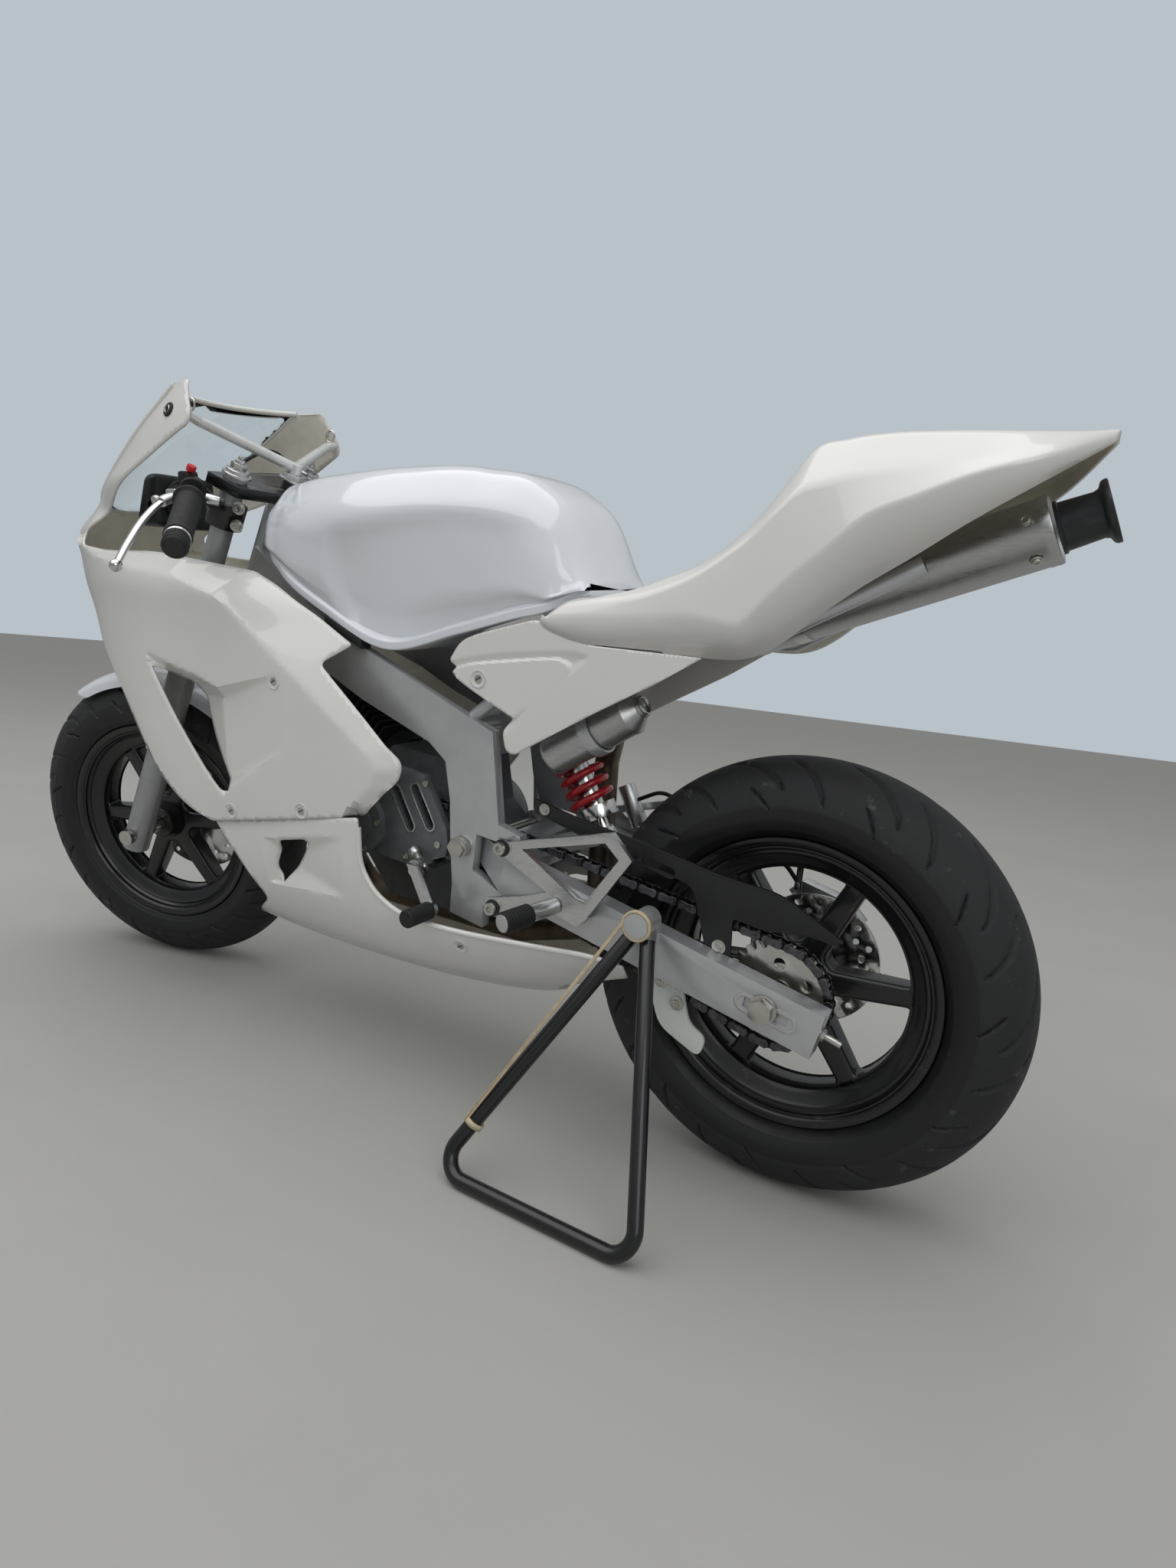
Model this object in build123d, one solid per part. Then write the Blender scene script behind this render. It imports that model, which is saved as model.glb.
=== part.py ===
from build123d import *
import math
import os

# Mini racing motorcycle, parked on a removable triangular side stand.
# Every piece is first drawn on the upright machine: +X forward, +Y left, +Z up,
# with the ground at z = 0 under the rear axle. Pieces that steer are drawn
# straight ahead. They are then turned on the steering axis, the machine is leaned
# onto its stand, and all is shifted so that the origin lies in the middle of the
# footprint.

# Overall geometry
WHEELBASE = 1080.0
REAR_RADIUS = 248.5
FRONT_RADIUS = 242.5
RAKE = 24.0
FORK_OFFSET = 30.0
LEAN = 5.05
STEER_REST = 14.9
FIT = 0.3

# Where the origin lies on the upright drawing, after the lean
ORIGIN_X = 534.3
ORIGIN_Y = 53.0
ORIGIN_Z = -1.06

# Height of the front axle along the steering axis, and where that axis meets the ground
AXLE_HEIGHT = FRONT_RADIUS - FORK_OFFSET * math.sin(math.radians(RAKE))
STEER_FOOT_X = WHEELBASE + AXLE_HEIGHT * math.tan(math.radians(RAKE)) - FORK_OFFSET * math.cos(math.radians(RAKE))

# Wheels
BEAD_RADIUS = 152.4
FLANGE_RADIUS = 165.5
BARREL_RADIUS = 130.0
SPOKES = 6
REAR_SPOKE_ANGLE = 56.0
FRONT_SPOKE_ANGLE = 298.0
REAR_FLANGE = 42.0
FRONT_FLANGE = 41.0
REAR_TYRE_HALF = 60.0
FRONT_TYRE_HALF = 50.0
AXLE_RADIUS = 8.0

# Chain drive
CHAIN_Y = 73.0
CHAIN_PITCH = 12.7
REAR_TEETH = 28
DRIVE_TEETH = 14
DRIVE_X = 470.0
DRIVE_Z = 352.0

# Frame and swingarm
SPAR_OUTER = 100.0
SPAR_INNER = 86.0
ARM_OUTER = 115.0
ARM_INNER = 90.0
ARM_DEPTH = 50.0
ARM_SHIFT = 32.0
CASE_HALF = 54.0
PIVOT_X = 405.0
PIVOT_Z = 340.0

# Fork
LEG_Y = 85.0
TUBE_RADIUS = 15.5
LEG_RADIUS = 20.0

# Shells
SHELL = 3.0

# Stand
STAND_ROD = 8.5


def place(x, y, z):
    """Shift of a shape to a point of the upright drawing."""
    return Location((x, y, z))


def parked(shape):
    """The upright drawing leaned onto the stand and moved to the origin."""
    return Location((-ORIGIN_X, -ORIGIN_Y, -ORIGIN_Z)) * shape.rotate(Axis.X, -LEAN)


def steered(shape):
    """A straight-ahead piece turned to the steering stop where it rests."""
    up = Vector(-math.sin(math.radians(RAKE)), 0, math.cos(math.radians(RAKE)))
    axis = Axis((STEER_FOOT_X, 0, 0), up)
    return shape.rotate(axis, STEER_REST)


def outline(points, y):
    """Closed side-view outline (x, z) standing at a depth y."""
    corners = [(x, y, z) for x, z in points]
    return make_face(Polyline(*corners, close=True))


def slab(points, low_y, high_y, corner=0.0):
    """Plate with a side-view outline, from one depth to another."""
    face = outline(points, low_y)
    if corner:
        face = fillet(face.vertices(), corner)
    return extrude(face, amount=high_y - low_y, dir=(0, 1, 0))


def deck(points, low_z, high_z):
    """Plate with a plan outline (x, y), from one height to another."""
    corners = [(x, y, low_z) for x, y in points]
    return extrude(make_face(Polyline(*corners, close=True)), amount=high_z - low_z, dir=(0, 0, 1))


def rod(start, end, radius):
    """Straight round bar between two points."""
    start = Vector(*start)
    end = Vector(*end)
    length = (end - start).length
    seat = Plane(origin=start, z_dir=end - start)
    return seat * Cylinder(radius, length, align=(Align.CENTER, Align.CENTER, Align.MIN))


def bent_rod(points, radius, bend):
    """Round bar along straight runs joined by tangent arcs."""
    path = FilletPolyline(*points, radius=bend)
    seat = Plane(origin=path @ 0, z_dir=path % 0)
    return sweep(seat * Circle(radius), path=path)


def cross_bar(x, z, low_y, high_y, radius):
    """Round bar across the machine."""
    return rod((x, low_y, z), (x, high_y, z), radius)


def turned(profile, x, z):
    """Ring or disc turned about a cross axle from a profile of (y, radius)."""
    corners = [(0, y, r) for y, r in profile]
    face = make_face(Polyline(*corners, close=True))
    return place(x, 0, z) * revolve(face, axis=Axis.Y, revolution_arc=360)


def skin(sections):
    """Straight-sided solid through closed polygons with equal corner counts."""
    faces = [make_face(Polyline(*corners, close=True)) for corners in sections]
    return loft(faces, ruled=True)


def band(x, half, wall):
    """Closed section at a station x: a half outline (y, z), mirrored, with a wall."""
    outer = [(x, y, z) for y, z in half]
    middle = 1 if half[-1][0] == 0 else 0
    mirror = [(x, -y, z) for y, z in reversed(half[:len(half) - middle])]
    inner = []
    count = len(half)
    for i, (y, z) in enumerate(half):
        before = half[max(i - 1, 0)]
        after = half[min(i + 1, count - 1)]
        dy = after[0] - before[0]
        dz = after[1] - before[1]
        if i == count - 1 and middle:
            dy, dz = 1.0, 0.0
            if before[0] > y:
                dy = -1.0
        size = math.hypot(dy, dz)
        ny, nz = dz / size, -dy / size
        inner.append((y + ny * wall, z + nz * wall))
    if middle:
        inner[-1] = (0, inner[-1][1])
    inner_left = [(x, y, z) for y, z in inner]
    inner_right = [(x, -y, z) for y, z in reversed(inner[:len(inner) - middle])]
    loop = outer + mirror
    back = list(reversed(inner_left + inner_right))
    return loop + back


def nose_ring(z, rear_x, rear_half, wide_x, half, tip):
    """Plan section of the fairing nose: straight sides and a rounded front."""
    reach = tip - wide_x
    c1, s1 = math.cos(math.radians(67)), math.sin(math.radians(67))
    c2, s2 = math.cos(math.radians(45)), math.sin(math.radians(45))
    c3, s3 = math.cos(math.radians(22)), math.sin(math.radians(22))
    left = (wide_x, half, z)
    left_mid = (wide_x + reach * c2, half * s2, z)
    right = (wide_x, -half, z)
    right_mid = (wide_x + reach * c2, -half * s2, z)
    nose = (tip, 0, z)
    edges = [
        Line((rear_x, -rear_half, z), (rear_x, rear_half, z)),
        Line((rear_x, rear_half, z), left),
        ThreePointArc(left, (wide_x + reach * c1, half * s1, z), left_mid),
        ThreePointArc(left_mid, (wide_x + reach * c3, half * s3, z), nose),
        ThreePointArc(nose, (wide_x + reach * c3, -half * s3, z), right_mid),
        ThreePointArc(right_mid, (wide_x + reach * c1, -half * s1, z), right),
        Line(right, (rear_x, -rear_half, z)),
    ]
    return make_face(Wire(edges))


os.makedirs("parts", exist_ok=True)
parts = {}


# Wheels. Tyres are solid rings with few facets.
def tyre(half, radius, x, flange_half):
    bead = flange_half - 5 - FIT
    side = [(bead, BEAD_RADIUS + FIT), (bead + 1, FLANGE_RADIUS), (bead + 1, FLANGE_RADIUS + 1), (bead + 7, FLANGE_RADIUS + 2)]
    side += [(half, radius - 43.5), (half * 0.72, radius - 15.5), (half * 0.2, radius)]
    left = [(-y, r) for y, r in reversed(side)]
    return turned(side + left, x, radius)


def rim(x, z, flange_half, spoke_start, hub_left, hub_right):
    """Cast wheel: flanged barrel, six spokes and a hub."""
    profile = [
        (flange_half, FLANGE_RADIUS), (flange_half - 4, FLANGE_RADIUS),
        (flange_half - 5, BEAD_RADIUS), (26, BEAD_RADIUS), (20, BARREL_RADIUS + 10), (-20, BARREL_RADIUS + 10),
        (-26, BEAD_RADIUS), (5 - flange_half, BEAD_RADIUS), (4 - flange_half, FLANGE_RADIUS),
        (-flange_half, FLANGE_RADIUS), (-flange_half, FLANGE_RADIUS - 7.5), (-25, BARREL_RADIUS + 14),
        (-20, BARREL_RADIUS), (20, BARREL_RADIUS), (25, BARREL_RADIUS + 14), (flange_half, FLANGE_RADIUS - 7.5),
    ]
    body = turned(profile, x, z)
    hub = turned([(hub_left, AXLE_RADIUS + FIT), (hub_left, 26), (-hub_right, 26),
                  (-hub_right, AXLE_RADIUS + FIT)], x, z)
    body = body + hub
    for k in range(SPOKES):
        angle = math.radians(spoke_start + 360.0 / SPOKES * k)
        cx, sx = math.cos(angle), math.sin(angle)
        sections = []
        for r, wide, deep in ((18, 15, 19), (134, 11, 15)):
            px, pz = x + r * cx, z + r * sx
            tx, tz = -sx * wide, cx * wide
            sections.append([(px + tx, deep, pz + tz), (px - tx, deep, pz - tz),
                             (px - tx, -deep, pz - tz), (px + tx, -deep, pz + tz)])
        body = body + skin(sections)
    return body - cross_bar(x, z, -hub_right - 1, hub_left + 1, AXLE_RADIUS + FIT)


def drilled_disc(x, z, low_y, high_y, outer, inner, holes, rows):
    """Brake disc with a short table of hole rings."""
    disc = turned([(low_y, inner), (low_y, outer), (high_y, outer), (high_y, inner)], x, z)
    for ring, size, turn in rows:
        for k in range(holes):
            angle = 2 * math.pi * (k + turn) / holes
            hx, hz = x + ring * math.cos(angle), z + ring * math.sin(angle)
            disc = disc - cross_bar(hx, hz, low_y - 1, high_y + 1, size)
    return disc


parts["rear_tyre"] = tyre(REAR_TYRE_HALF, REAR_RADIUS, 0, REAR_FLANGE)
parts["rear_rim"] = rim(0, REAR_RADIUS, REAR_FLANGE, REAR_SPOKE_ANGLE, 66.0, 56.0)

SPROCKET_PITCH_RADIUS = CHAIN_PITCH / 2 / math.sin(math.pi / REAR_TEETH)
DRIVE_PITCH_RADIUS = CHAIN_PITCH / 2 / math.sin(math.pi / DRIVE_TEETH)


def sprocket(x, z, teeth, pitch_radius, bore, low_y, high_y):
    """Toothed wheel: straight flanks from the roots to narrow tips."""
    points = []
    for k in range(teeth):
        for part, r in ((-0.32, pitch_radius - 3.8), (-0.12, pitch_radius + 3.0),
                        (0.12, pitch_radius + 3.0), (0.32, pitch_radius - 3.8)):
            angle = 2 * math.pi * (k + part) / teeth
            points.append((x + r * math.cos(angle), z + r * math.sin(angle)))
    return slab(points, low_y, high_y) - cross_bar(x, z, low_y - 1, high_y + 1, bore)


rear_sprocket = sprocket(0, REAR_RADIUS, REAR_TEETH, SPROCKET_PITCH_RADIUS, 20.0,
                         CHAIN_Y - 2.8, CHAIN_Y + 2.8)
for k in range(6):
    angle = 2 * math.pi * (k + 0.5) / 6
    rear_sprocket = rear_sprocket - cross_bar(36 * math.cos(angle),
                                              REAR_RADIUS + 36 * math.sin(angle), 60, 90, 6.5)
rear_sprocket = rear_sprocket + turned([(66.0 + FIT, 15), (66.0 + FIT, 34), (CHAIN_Y - 2.8, 34),
                                        (CHAIN_Y - 2.8, 15)], 0, REAR_RADIUS)
rear_sprocket = rear_sprocket - cross_bar(0, REAR_RADIUS, 60, 90, 15)
parts["rear_sprocket"] = rear_sprocket
parts["rear_disc"] = drilled_disc(0, REAR_RADIUS, -60.3, -56.3, 78.0, 24.0, 16,
                                  ((68.0, 3.6, 0.0), (57.0, 3.6, 0.5)))

parts["front_tyre"] = tyre(FRONT_TYRE_HALF, FRONT_RADIUS, WHEELBASE, FRONT_FLANGE)
parts["front_rim"] = rim(WHEELBASE, FRONT_RADIUS, FRONT_FLANGE, FRONT_SPOKE_ANGLE, 40.0, 50.0)
parts["front_disc"] = drilled_disc(WHEELBASE, FRONT_RADIUS, -54.3, -50.3, 110.0, 27.0, 18,
                                   ((99.0, 4.0, 0.0), (87.0, 4.0, 0.5)))

# Swingarm: two box arms, a bridge between them, pivot bolt and axle
ARM_SLOPE = math.atan2(PIVOT_Z - REAR_RADIUS + 2.5, PIVOT_X)
ARM_TAIL_X = -58.0


def arm_point(x, across):
    """Point beside the arm's centre line, at a station x."""
    z = PIVOT_Z - (PIVOT_X - x) * math.tan(ARM_SLOPE)
    return (x - across * math.sin(ARM_SLOPE), z + across * math.cos(ARM_SLOPE))


def arm(side):
    """Box arm: outside the chain at the axle, inside the chain loop at the pivot."""
    half = ARM_DEPTH / 2
    nose = 17.0
    rows = []
    for x, depth, shift in ((ARM_TAIL_X, half, 0), (330, half, 0), (385, nose, ARM_SHIFT),
                            (PIVOT_X, nose, ARM_SHIFT)):
        high = arm_point(x, depth)
        low = arm_point(x, -depth)
        outer = side * (ARM_OUTER - shift)
        inner = side * (ARM_INNER - shift)
        rows.append([(high[0], outer, high[1]), (high[0], inner, high[1]),
                     (low[0], inner, low[1]), (low[0], outer, low[1])])
    body = skin(rows[0:2]) + skin(rows[1:3]) + skin(rows[2:4])
    ends = sorted((side * (ARM_OUTER - ARM_SHIFT), side * (ARM_INNER - ARM_SHIFT)))
    body = body + cross_bar(PIVOT_X, PIVOT_Z, ends[0], ends[1], nose)
    slot_y = sorted((side * (ARM_OUTER - 4), side * (ARM_OUTER + 1)))
    body = body - slab([arm_point(22, 6.5), arm_point(-26, 6.5), arm_point(-26, -6.5),
                        arm_point(22, -6.5)], slot_y[0], slot_y[1])
    body = body - cross_bar(0, REAR_RADIUS, -130, 130, AXLE_RADIUS + FIT)
    return body - cross_bar(PIVOT_X, PIVOT_Z, -130, 130, 7.5 + FIT)


SHOCK_EYE_LOW = (REAR_RADIUS + 9.5, 362.0)
SHOCK_EYE_HIGH = (341.0, 505.0)
SOCKET_X = 137.0
SOCKET_Z = arm_point(SOCKET_X, 0)[1] + 36.2
SOCKET_END = 148.0
socket = rod((SOCKET_X, ARM_OUTER - 2, SOCKET_Z), (SOCKET_X, SOCKET_END, SOCKET_Z), 14)
socket = socket + slab([(SOCKET_X - 14, SOCKET_Z - 24), (SOCKET_X + 14, SOCKET_Z - 17), (SOCKET_X + 14, SOCKET_Z),
                        (SOCKET_X - 14, SOCKET_Z)], ARM_OUTER - 2, 122)
arm_left = arm(1) + socket
arm_right = arm(-1)
taper = ARM_SHIFT / 55.0
bridge_plan = [(342, ARM_INNER - FIT - 12 * taper), (376, ARM_INNER - FIT - 46 * taper)]
bridge_plan = bridge_plan + [(x, -y) for x, y in reversed(bridge_plan)]
arm_bridge = deck(bridge_plan, 200, 400) & slab([arm_point(385, 17), arm_point(330, 21),
                                                 arm_point(330, -21), arm_point(385, -17)], -100, 100)
parts["swingarm_right"] = arm_right
for low, high in ((9 + FIT, 15), (-15, -9 - FIT)):
    ex, ez = SHOCK_EYE_LOW
    arm_bridge = arm_bridge + slab([(350, 340), (ex, ez + 11), (ex - 9, ez), (ex, ez - 11), (350, 316)], low, high)
arm_bridge = arm_bridge - cross_bar(SHOCK_EYE_LOW[0], SHOCK_EYE_LOW[1], -20, 20, 4)
parts["swingarm_left"] = arm_left + arm_bridge - arm_right

rear_axle = cross_bar(0, REAR_RADIUS, -128, 122, AXLE_RADIUS)
nut = Plane(origin=(0, ARM_OUTER + 5.3, REAR_RADIUS), z_dir=(0, 1, 0)) * extrude(
    RegularPolygon(13.5, 6), amount=9)
washer = cross_bar(0, REAR_RADIUS, ARM_OUTER + FIT, ARM_OUTER + 5.3, 15)
head = cross_bar(0, REAR_RADIUS, -ARM_OUTER - 10, -ARM_OUTER - FIT, 14)
parts["rear_axle"] = rear_axle + nut + washer + head

# Frame: pivot plates and spars in one pressing each side, a head tube, cross bars
REAR_PLATE = [
    (634, 595), (559, 564), (437, 514), (366, 487), (361, 448), (352, 376), (320, 368), (320, 351.5),
    (384, 359), (388, 312), (346, 293), (330, 292), (330, 272), (370, 270), (370, 242), (421, 251), (419, 286), (424, 351), (426, 395), (435, 442), (462, 463),
    (573, 503), (634, 531),
]


def spar(side):
    low, high = (SPAR_INNER, SPAR_OUTER) if side > 0 else (-SPAR_OUTER, -SPAR_INNER)
    body = slab(REAR_PLATE, low, high)
    front = skin([
        [(634, side * SPAR_INNER, 531), (634, side * SPAR_OUTER, 531),
         (634, side * SPAR_OUTER, 595), (634, side * SPAR_INNER, 595)],
        [(842, side * 12, 628), (842, side * 38, 628), (842, side * 38, 690), (842, side * 12, 690)],
    ])
    return body + front


HEAD_LOW = 628.0
HEAD_HIGH = 752.0


def steer_point(height, forward=0.0):
    """Point beside the steering axis at a height on it, seen from the side."""
    rake = math.radians(RAKE)
    x = STEER_FOOT_X - height * math.tan(rake) + forward * math.cos(rake)
    return (x, 0.0, height + forward * math.sin(rake))


head_bar = rod(steer_point(HEAD_LOW), steer_point(HEAD_HIGH), 26)
head_cut = rod(steer_point(HEAD_LOW - 60), steer_point(HEAD_HIGH + 60), 26 + FIT)
head_bore = rod(steer_point(HEAD_LOW - 5), steer_point(HEAD_HIGH + 5), 14 + FIT)
pivot_bore = cross_bar(PIVOT_X, PIVOT_Z, -130, 130, 7.5 + FIT)
frame_left = spar(1) - head_cut - pivot_bore
parts["frame_right"] = spar(-1) - head_cut - pivot_bore
parts["head_tube"] = head_bar - head_bore
for x, z, radius in ((420, 490, 13), (396, 268, 13)):
    frame_left = frame_left + cross_bar(x, z, -SPAR_INNER + FIT, SPAR_INNER + 2, radius)
for low, high in ((9 + FIT, 15), (-15, -9 - FIT)):
    ex, ez = SHOCK_EYE_HIGH
    frame_left = frame_left + slab([(420, 503), (ex, ez + 12), (ex - 10, ez), (ex, ez - 11),
                                    (420, 477)], low, high)
parts["frame_left"] = frame_left
pivot = cross_bar(PIVOT_X, PIVOT_Z, -SPAR_OUTER - 3, SPAR_OUTER + 3, 7.5)
pivot = pivot + cross_bar(PIVOT_X, PIVOT_Z, SPAR_OUTER + FIT, SPAR_OUTER + 9, 13)
pivot = pivot + cross_bar(PIVOT_X, PIVOT_Z, -SPAR_OUTER - 9, -SPAR_OUTER - FIT, 13)
parts["swingarm_pivot"] = pivot

# Engine: a plain case, a finned cylinder leaning forward, covers and carburettor
case = slab([(392, 262), (392, 330), (436, 372), (448, 432), (560, 440), (622, 380), (618, 300),
             (560, 232), (430, 232)], -CASE_HALF, CASE_HALF)
case = case - cross_bar(PIVOT_X, PIVOT_Z, -80, 80, 7.5 + FIT)
case = case - cross_bar(396, 268, -80, 80, 13 + FIT)
CYL_BASE = (588.0, 0.0, 410.0)
CYL_ANGLE = 34.0
cyl_plane = Plane(origin=CYL_BASE, x_dir=(0, 1, 0),
                  z_dir=(math.cos(math.radians(CYL_ANGLE)), 0, math.sin(math.radians(CYL_ANGLE))))
cylinder = cyl_plane * Cylinder(38, 128, align=(Align.CENTER, Align.CENTER, Align.MIN))
for k in range(7):
    fin = cyl_plane * Location((0, 0, 20 + k * 11)) * Box(
        104, 96, 3, align=(Align.CENTER, Align.CENTER, Align.MIN))
    cylinder = cylinder + fin
headblock = cyl_plane * Location((0, 0, 98)) * Box(92, 90, 44, align=(Align.CENTER, Align.CENTER, Align.MIN))
cylinder = cylinder + headblock
cylinder = cylinder - slab([(392, 262), (392, 330), (436, 372), (448, 432), (560, 440), (622, 380),
                            (618, 300), (560, 232), (430, 232)], -73, 73)
parts["cylinder"] = cylinder
LEFT_COVER = [(436, 318), (433, 334), (436, 354), (475, 417), (552, 426), (560, 408), (584, 366),
              (578, 302), (494, 296)]
COVER_LOW = CHAIN_Y + 9.0
COVER_HIGH = CHAIN_Y + 20.0
left_cover = slab(LEFT_COVER, COVER_LOW, COVER_HIGH, 6)
for x0, z0, x1, z1 in ((519, 391, 494, 348), (487, 398, 462, 355)):
    dx, dz = x1 - x0, z1 - z0
    size = math.hypot(dx, dz)
    nx, nz = -dz / size * 6.5, dx / size * 6.5
    cut = slab([(x0 + nx, z0 + nz), (x1 + nx, z1 + nz), (x1 - nx, z1 - nz), (x0 - nx, z0 - nz)],
               COVER_LOW - 1, COVER_HIGH + 1)
    cut = cut + cross_bar(x0, z0, COVER_LOW - 1, COVER_HIGH + 1, 6.5)
    cut = cut + cross_bar(x1, z1, COVER_LOW - 1, COVER_HIGH + 1, 6.5)
    left_cover = left_cover - cut
for x, z in ((545, 412), (500, 303)):
    left_cover = left_cover + cross_bar(x, z, CASE_HALF + FIT, COVER_LOW, 8)
generator = cross_bar(580, 340, CASE_HALF - 4, 102, 44)
left_cover = left_cover - cross_bar(580, 340, CASE_HALF, 110, 44 + FIT)
parts["sprocket_cover"] = left_cover - cross_bar(457, 304, 50, 120, 6 + FIT)
clutch = cross_bar(500, 330, -98, -CASE_HALF + 4, 62) + cross_bar(565, 340, -92, -CASE_HALF + 4, 40)
parts["engine_case"] = case + generator + clutch
carb = rod((598, 0, 488), (668, 0, 540), 22)
parts["carburettor"] = carb - parts["cylinder"]
EXHAUST = 16.0
parts["exhaust_pipe"] = bent_rod([(734.4, -18, 448), (773, -22, 330), (690, -48, 190), (420, -64, 178),
                                  (300, -66, 210), (300, -66, 440), (262, -40, 566),
                                  (118, 0, 620)], EXHAUST, 46)

# Silencer under the tail: oval can and short turned outlet
SIL_FRONT = (96.0, 0.0, 628.0)
SIL_REAR = (-193.0, 0.0, 741.0)
sil_dir = Vector(*SIL_REAR) - Vector(*SIL_FRONT)
sil_plane = Plane(origin=SIL_FRONT, x_dir=(0, 1, 0), z_dir=sil_dir)
sil_length = sil_dir.length
can = extrude(sil_plane * Ellipse(50, 33), amount=sil_length)
parts["silencer"] = can
outlet = sil_plane * Location((0, 0, sil_length + FIT)) * (
    Cylinder(23, 42, align=(Align.CENTER, Align.CENTER, Align.MIN))
    + Location((0, 0, 40)) * Cylinder(29, 7, align=(Align.CENTER, Align.CENTER, Align.MIN)))
outlet = outlet - sil_plane * Location((0, 0, sil_length + 1)) * Cylinder(
    18, 60, align=(Align.CENTER, Align.CENTER, Align.MIN))
parts["silencer_outlet"] = outlet

# Tank: a solid of straight-ruled stations
TANK = [
    # x, underside, low half width, waist height, waist half width, shoulder height,
    # shoulder half width, crown half width, crown height
    (262, 652, 70, 656, 84, 661, 78, 40, 664),
    (296, 632, 92, 646, 104, 690, 96, 60, 734),
    (340, 620, 98, 650, 114, 730, 106, 66, 772),
    (418, 597, 100, 640, 118, 736, 118, 74, 790),
    (531, 570, 104, 625, 112, 730, 124, 80, 792),
    (626, 604, 104, 650, 114, 728, 122, 78, 786),
    (720, 655, 98, 676, 110, 724, 108, 66, 776),
    (758, 682, 78, 694, 92, 730, 88, 52, 768),
    (774, 700, 52, 708, 62, 740, 60, 34, 756),
]
tank_sections = []
for x, zb, wl, zw, ww, zs, ws, wc, zc in TANK:
    half = [(wl, zb), (ww, zw), (ws, zs), (wc, zc)]
    tank_sections.append([(x, y, z) for y, z in half] + [(x, -y, z) for y, z in reversed(half)])
tank = skin(tank_sections)
STRIP = [(565, 566.8), (630, 593.7), (630, 616), (565, 594)]
tank = tank + slab(STRIP, 88, 98) + slab(STRIP, -98, -88)
parts["tank"] = tank

# Seat cowl: an open shell of stations, from the tail tip to the tank
COWL = [
    (-229, (2, 827), (9, 823), (12, 815), (11, 808)),
    (-186, (44, 829), (62, 818), (72, 795), (70, 768)),
    (-108, (58, 831), (90, 812), (110, 772), (92, 722)),
    (-38, (62, 829), (100, 800), (115, 715), (96, 670)),
    (23, (64, 822), (104, 770), (117, 655), (99, 628)),
    (66, (70, 786), (104, 735), (116, 640), (99, 600)),
    (119, (84, 718), (106, 690), (114, 648), (98, 600)),
    (185, (86, 676), (104, 662), (110, 638), (100, 612)),
    (256, (84, 658), (100, 652), (106, 640), (103, 620)),
]
cowl_sections = []
for x, top, shoulder, crease, low in COWL:
    cowl_sections.append(band(x, [low, crease, shoulder, top], -SHELL))
parts["seat_cowl"] = skin(cowl_sections)

# Side covers, mirrored
COVER = [(424, 570), (398, 594), (304, 619), (262, 608), (240, 599), (104, 596), (156, 566),
         (184, 550), (331, 465), (343, 469), (346, 496), (336, 507), (416, 546), (420, 557)]
parts["side_cover_left"] = slab(COVER, 103, 109)
parts["side_cover_right"] = slab(COVER, -109, -103)

# Subframe: two rails and a seat cross plate
SUB_Y = 84.0
TANK_LOW = (308.0, 60.0, 462.0)
TANK_HIGH = (190.0, 60.0, 536.0)
CATCH_RADIUS = 26.0
subframe = None
for side in (1, -1):
    rail = bent_rod([(404, side * SUB_Y, 500), (330, side * SUB_Y, 560), (200, side * SUB_Y, 606),
                     (70, side * SUB_Y, 610), (-90, side * 59.4, 700.7)], 9, 30)
    rail = rail - slab(REAR_PLATE, side * 93 - 8, side * 93 + 8)
    pads = ((345, 548, 102.7), (119, 612, 96.0))
    for x, z, reach in pads:
        ends = sorted((side * SUB_Y, side * reach))
        rail = rail + cross_bar(x, z, ends[0], ends[1], 7)
    subframe = rail if subframe is None else subframe + rail
subframe = subframe + cross_bar(318, 564, -SUB_Y, SUB_Y, 8)
strap_at = Vector(249, 60, 499)
strap_dir = (Vector(*TANK_HIGH) - Vector(*TANK_LOW)).normalized()
strap_plane = Plane(origin=strap_at, z_dir=strap_dir)
strap = strap_plane * (Cylinder(CATCH_RADIUS + 3, 14) - Cylinder(CATCH_RADIUS + FIT, 16))
subframe = subframe + strap + (rod((257, 66, 520), (257, SUB_Y, 586), 5)
                               - rod(TANK_LOW, TANK_HIGH, CATCH_RADIUS + FIT))
parts["subframe"] = subframe

# Upper fairing and windscreen: one nose skin, parted along the screen's edge
NOSE = [
    # z, half width at the back, widest x, half width, tip
    (296, 132, 700, 148, 990),
    (420, 142, 720, 159, 1060),
    (520, 148, 760, 166, 1120),
    (620, 150, 820, 170, 1212),
    (662, 142, 890, 158, 1236),
    (697, 140, 945, 155, 1240),
    (735, 138, 930, 152, 1196),
    (789, 134, 895, 146, 1115),
    (847, 128, 862, 136, 1025),
    (899, 116, 845, 118, 935),
]
outer_rings = []
inner_rings = []
for z, back, wide, half, tip in NOSE:
    outer_rings.append(nose_ring(z, 430, back, wide, half, tip))
    inner_rings.append(nose_ring(z, 429, back - SHELL, wide, half - SHELL, tip - SHELL - 1))


def flank(start, end, slope, wall):
    """Outside of a plane that leans inwards from a ridge on the nose; a wall moves it in for the inner skin."""
    run = Vector(*end) - Vector(*start)
    lap = run.normalized() * RIDGE_LAP
    run = run + lap * 2
    size = math.hypot(run.X, run.Z)
    up_x, up_z = run.Z / size * FLANK_REACH, -run.X / size * FLANK_REACH
    x, y, z = Vector(*start) - lap
    y = y - RIDGE_DEPTH - wall
    low = y - slope * FLANK_REACH
    face = make_face(Polyline((x, y, z), (x + up_x, low, z + up_z), (x + up_x, y + 90, z + up_z),
                              (x, y + 90, z), close=True))
    left = extrude(face, amount=run.length, dir=run.normalized())
    return left + mirror(left, about=Plane.XZ)


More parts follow.
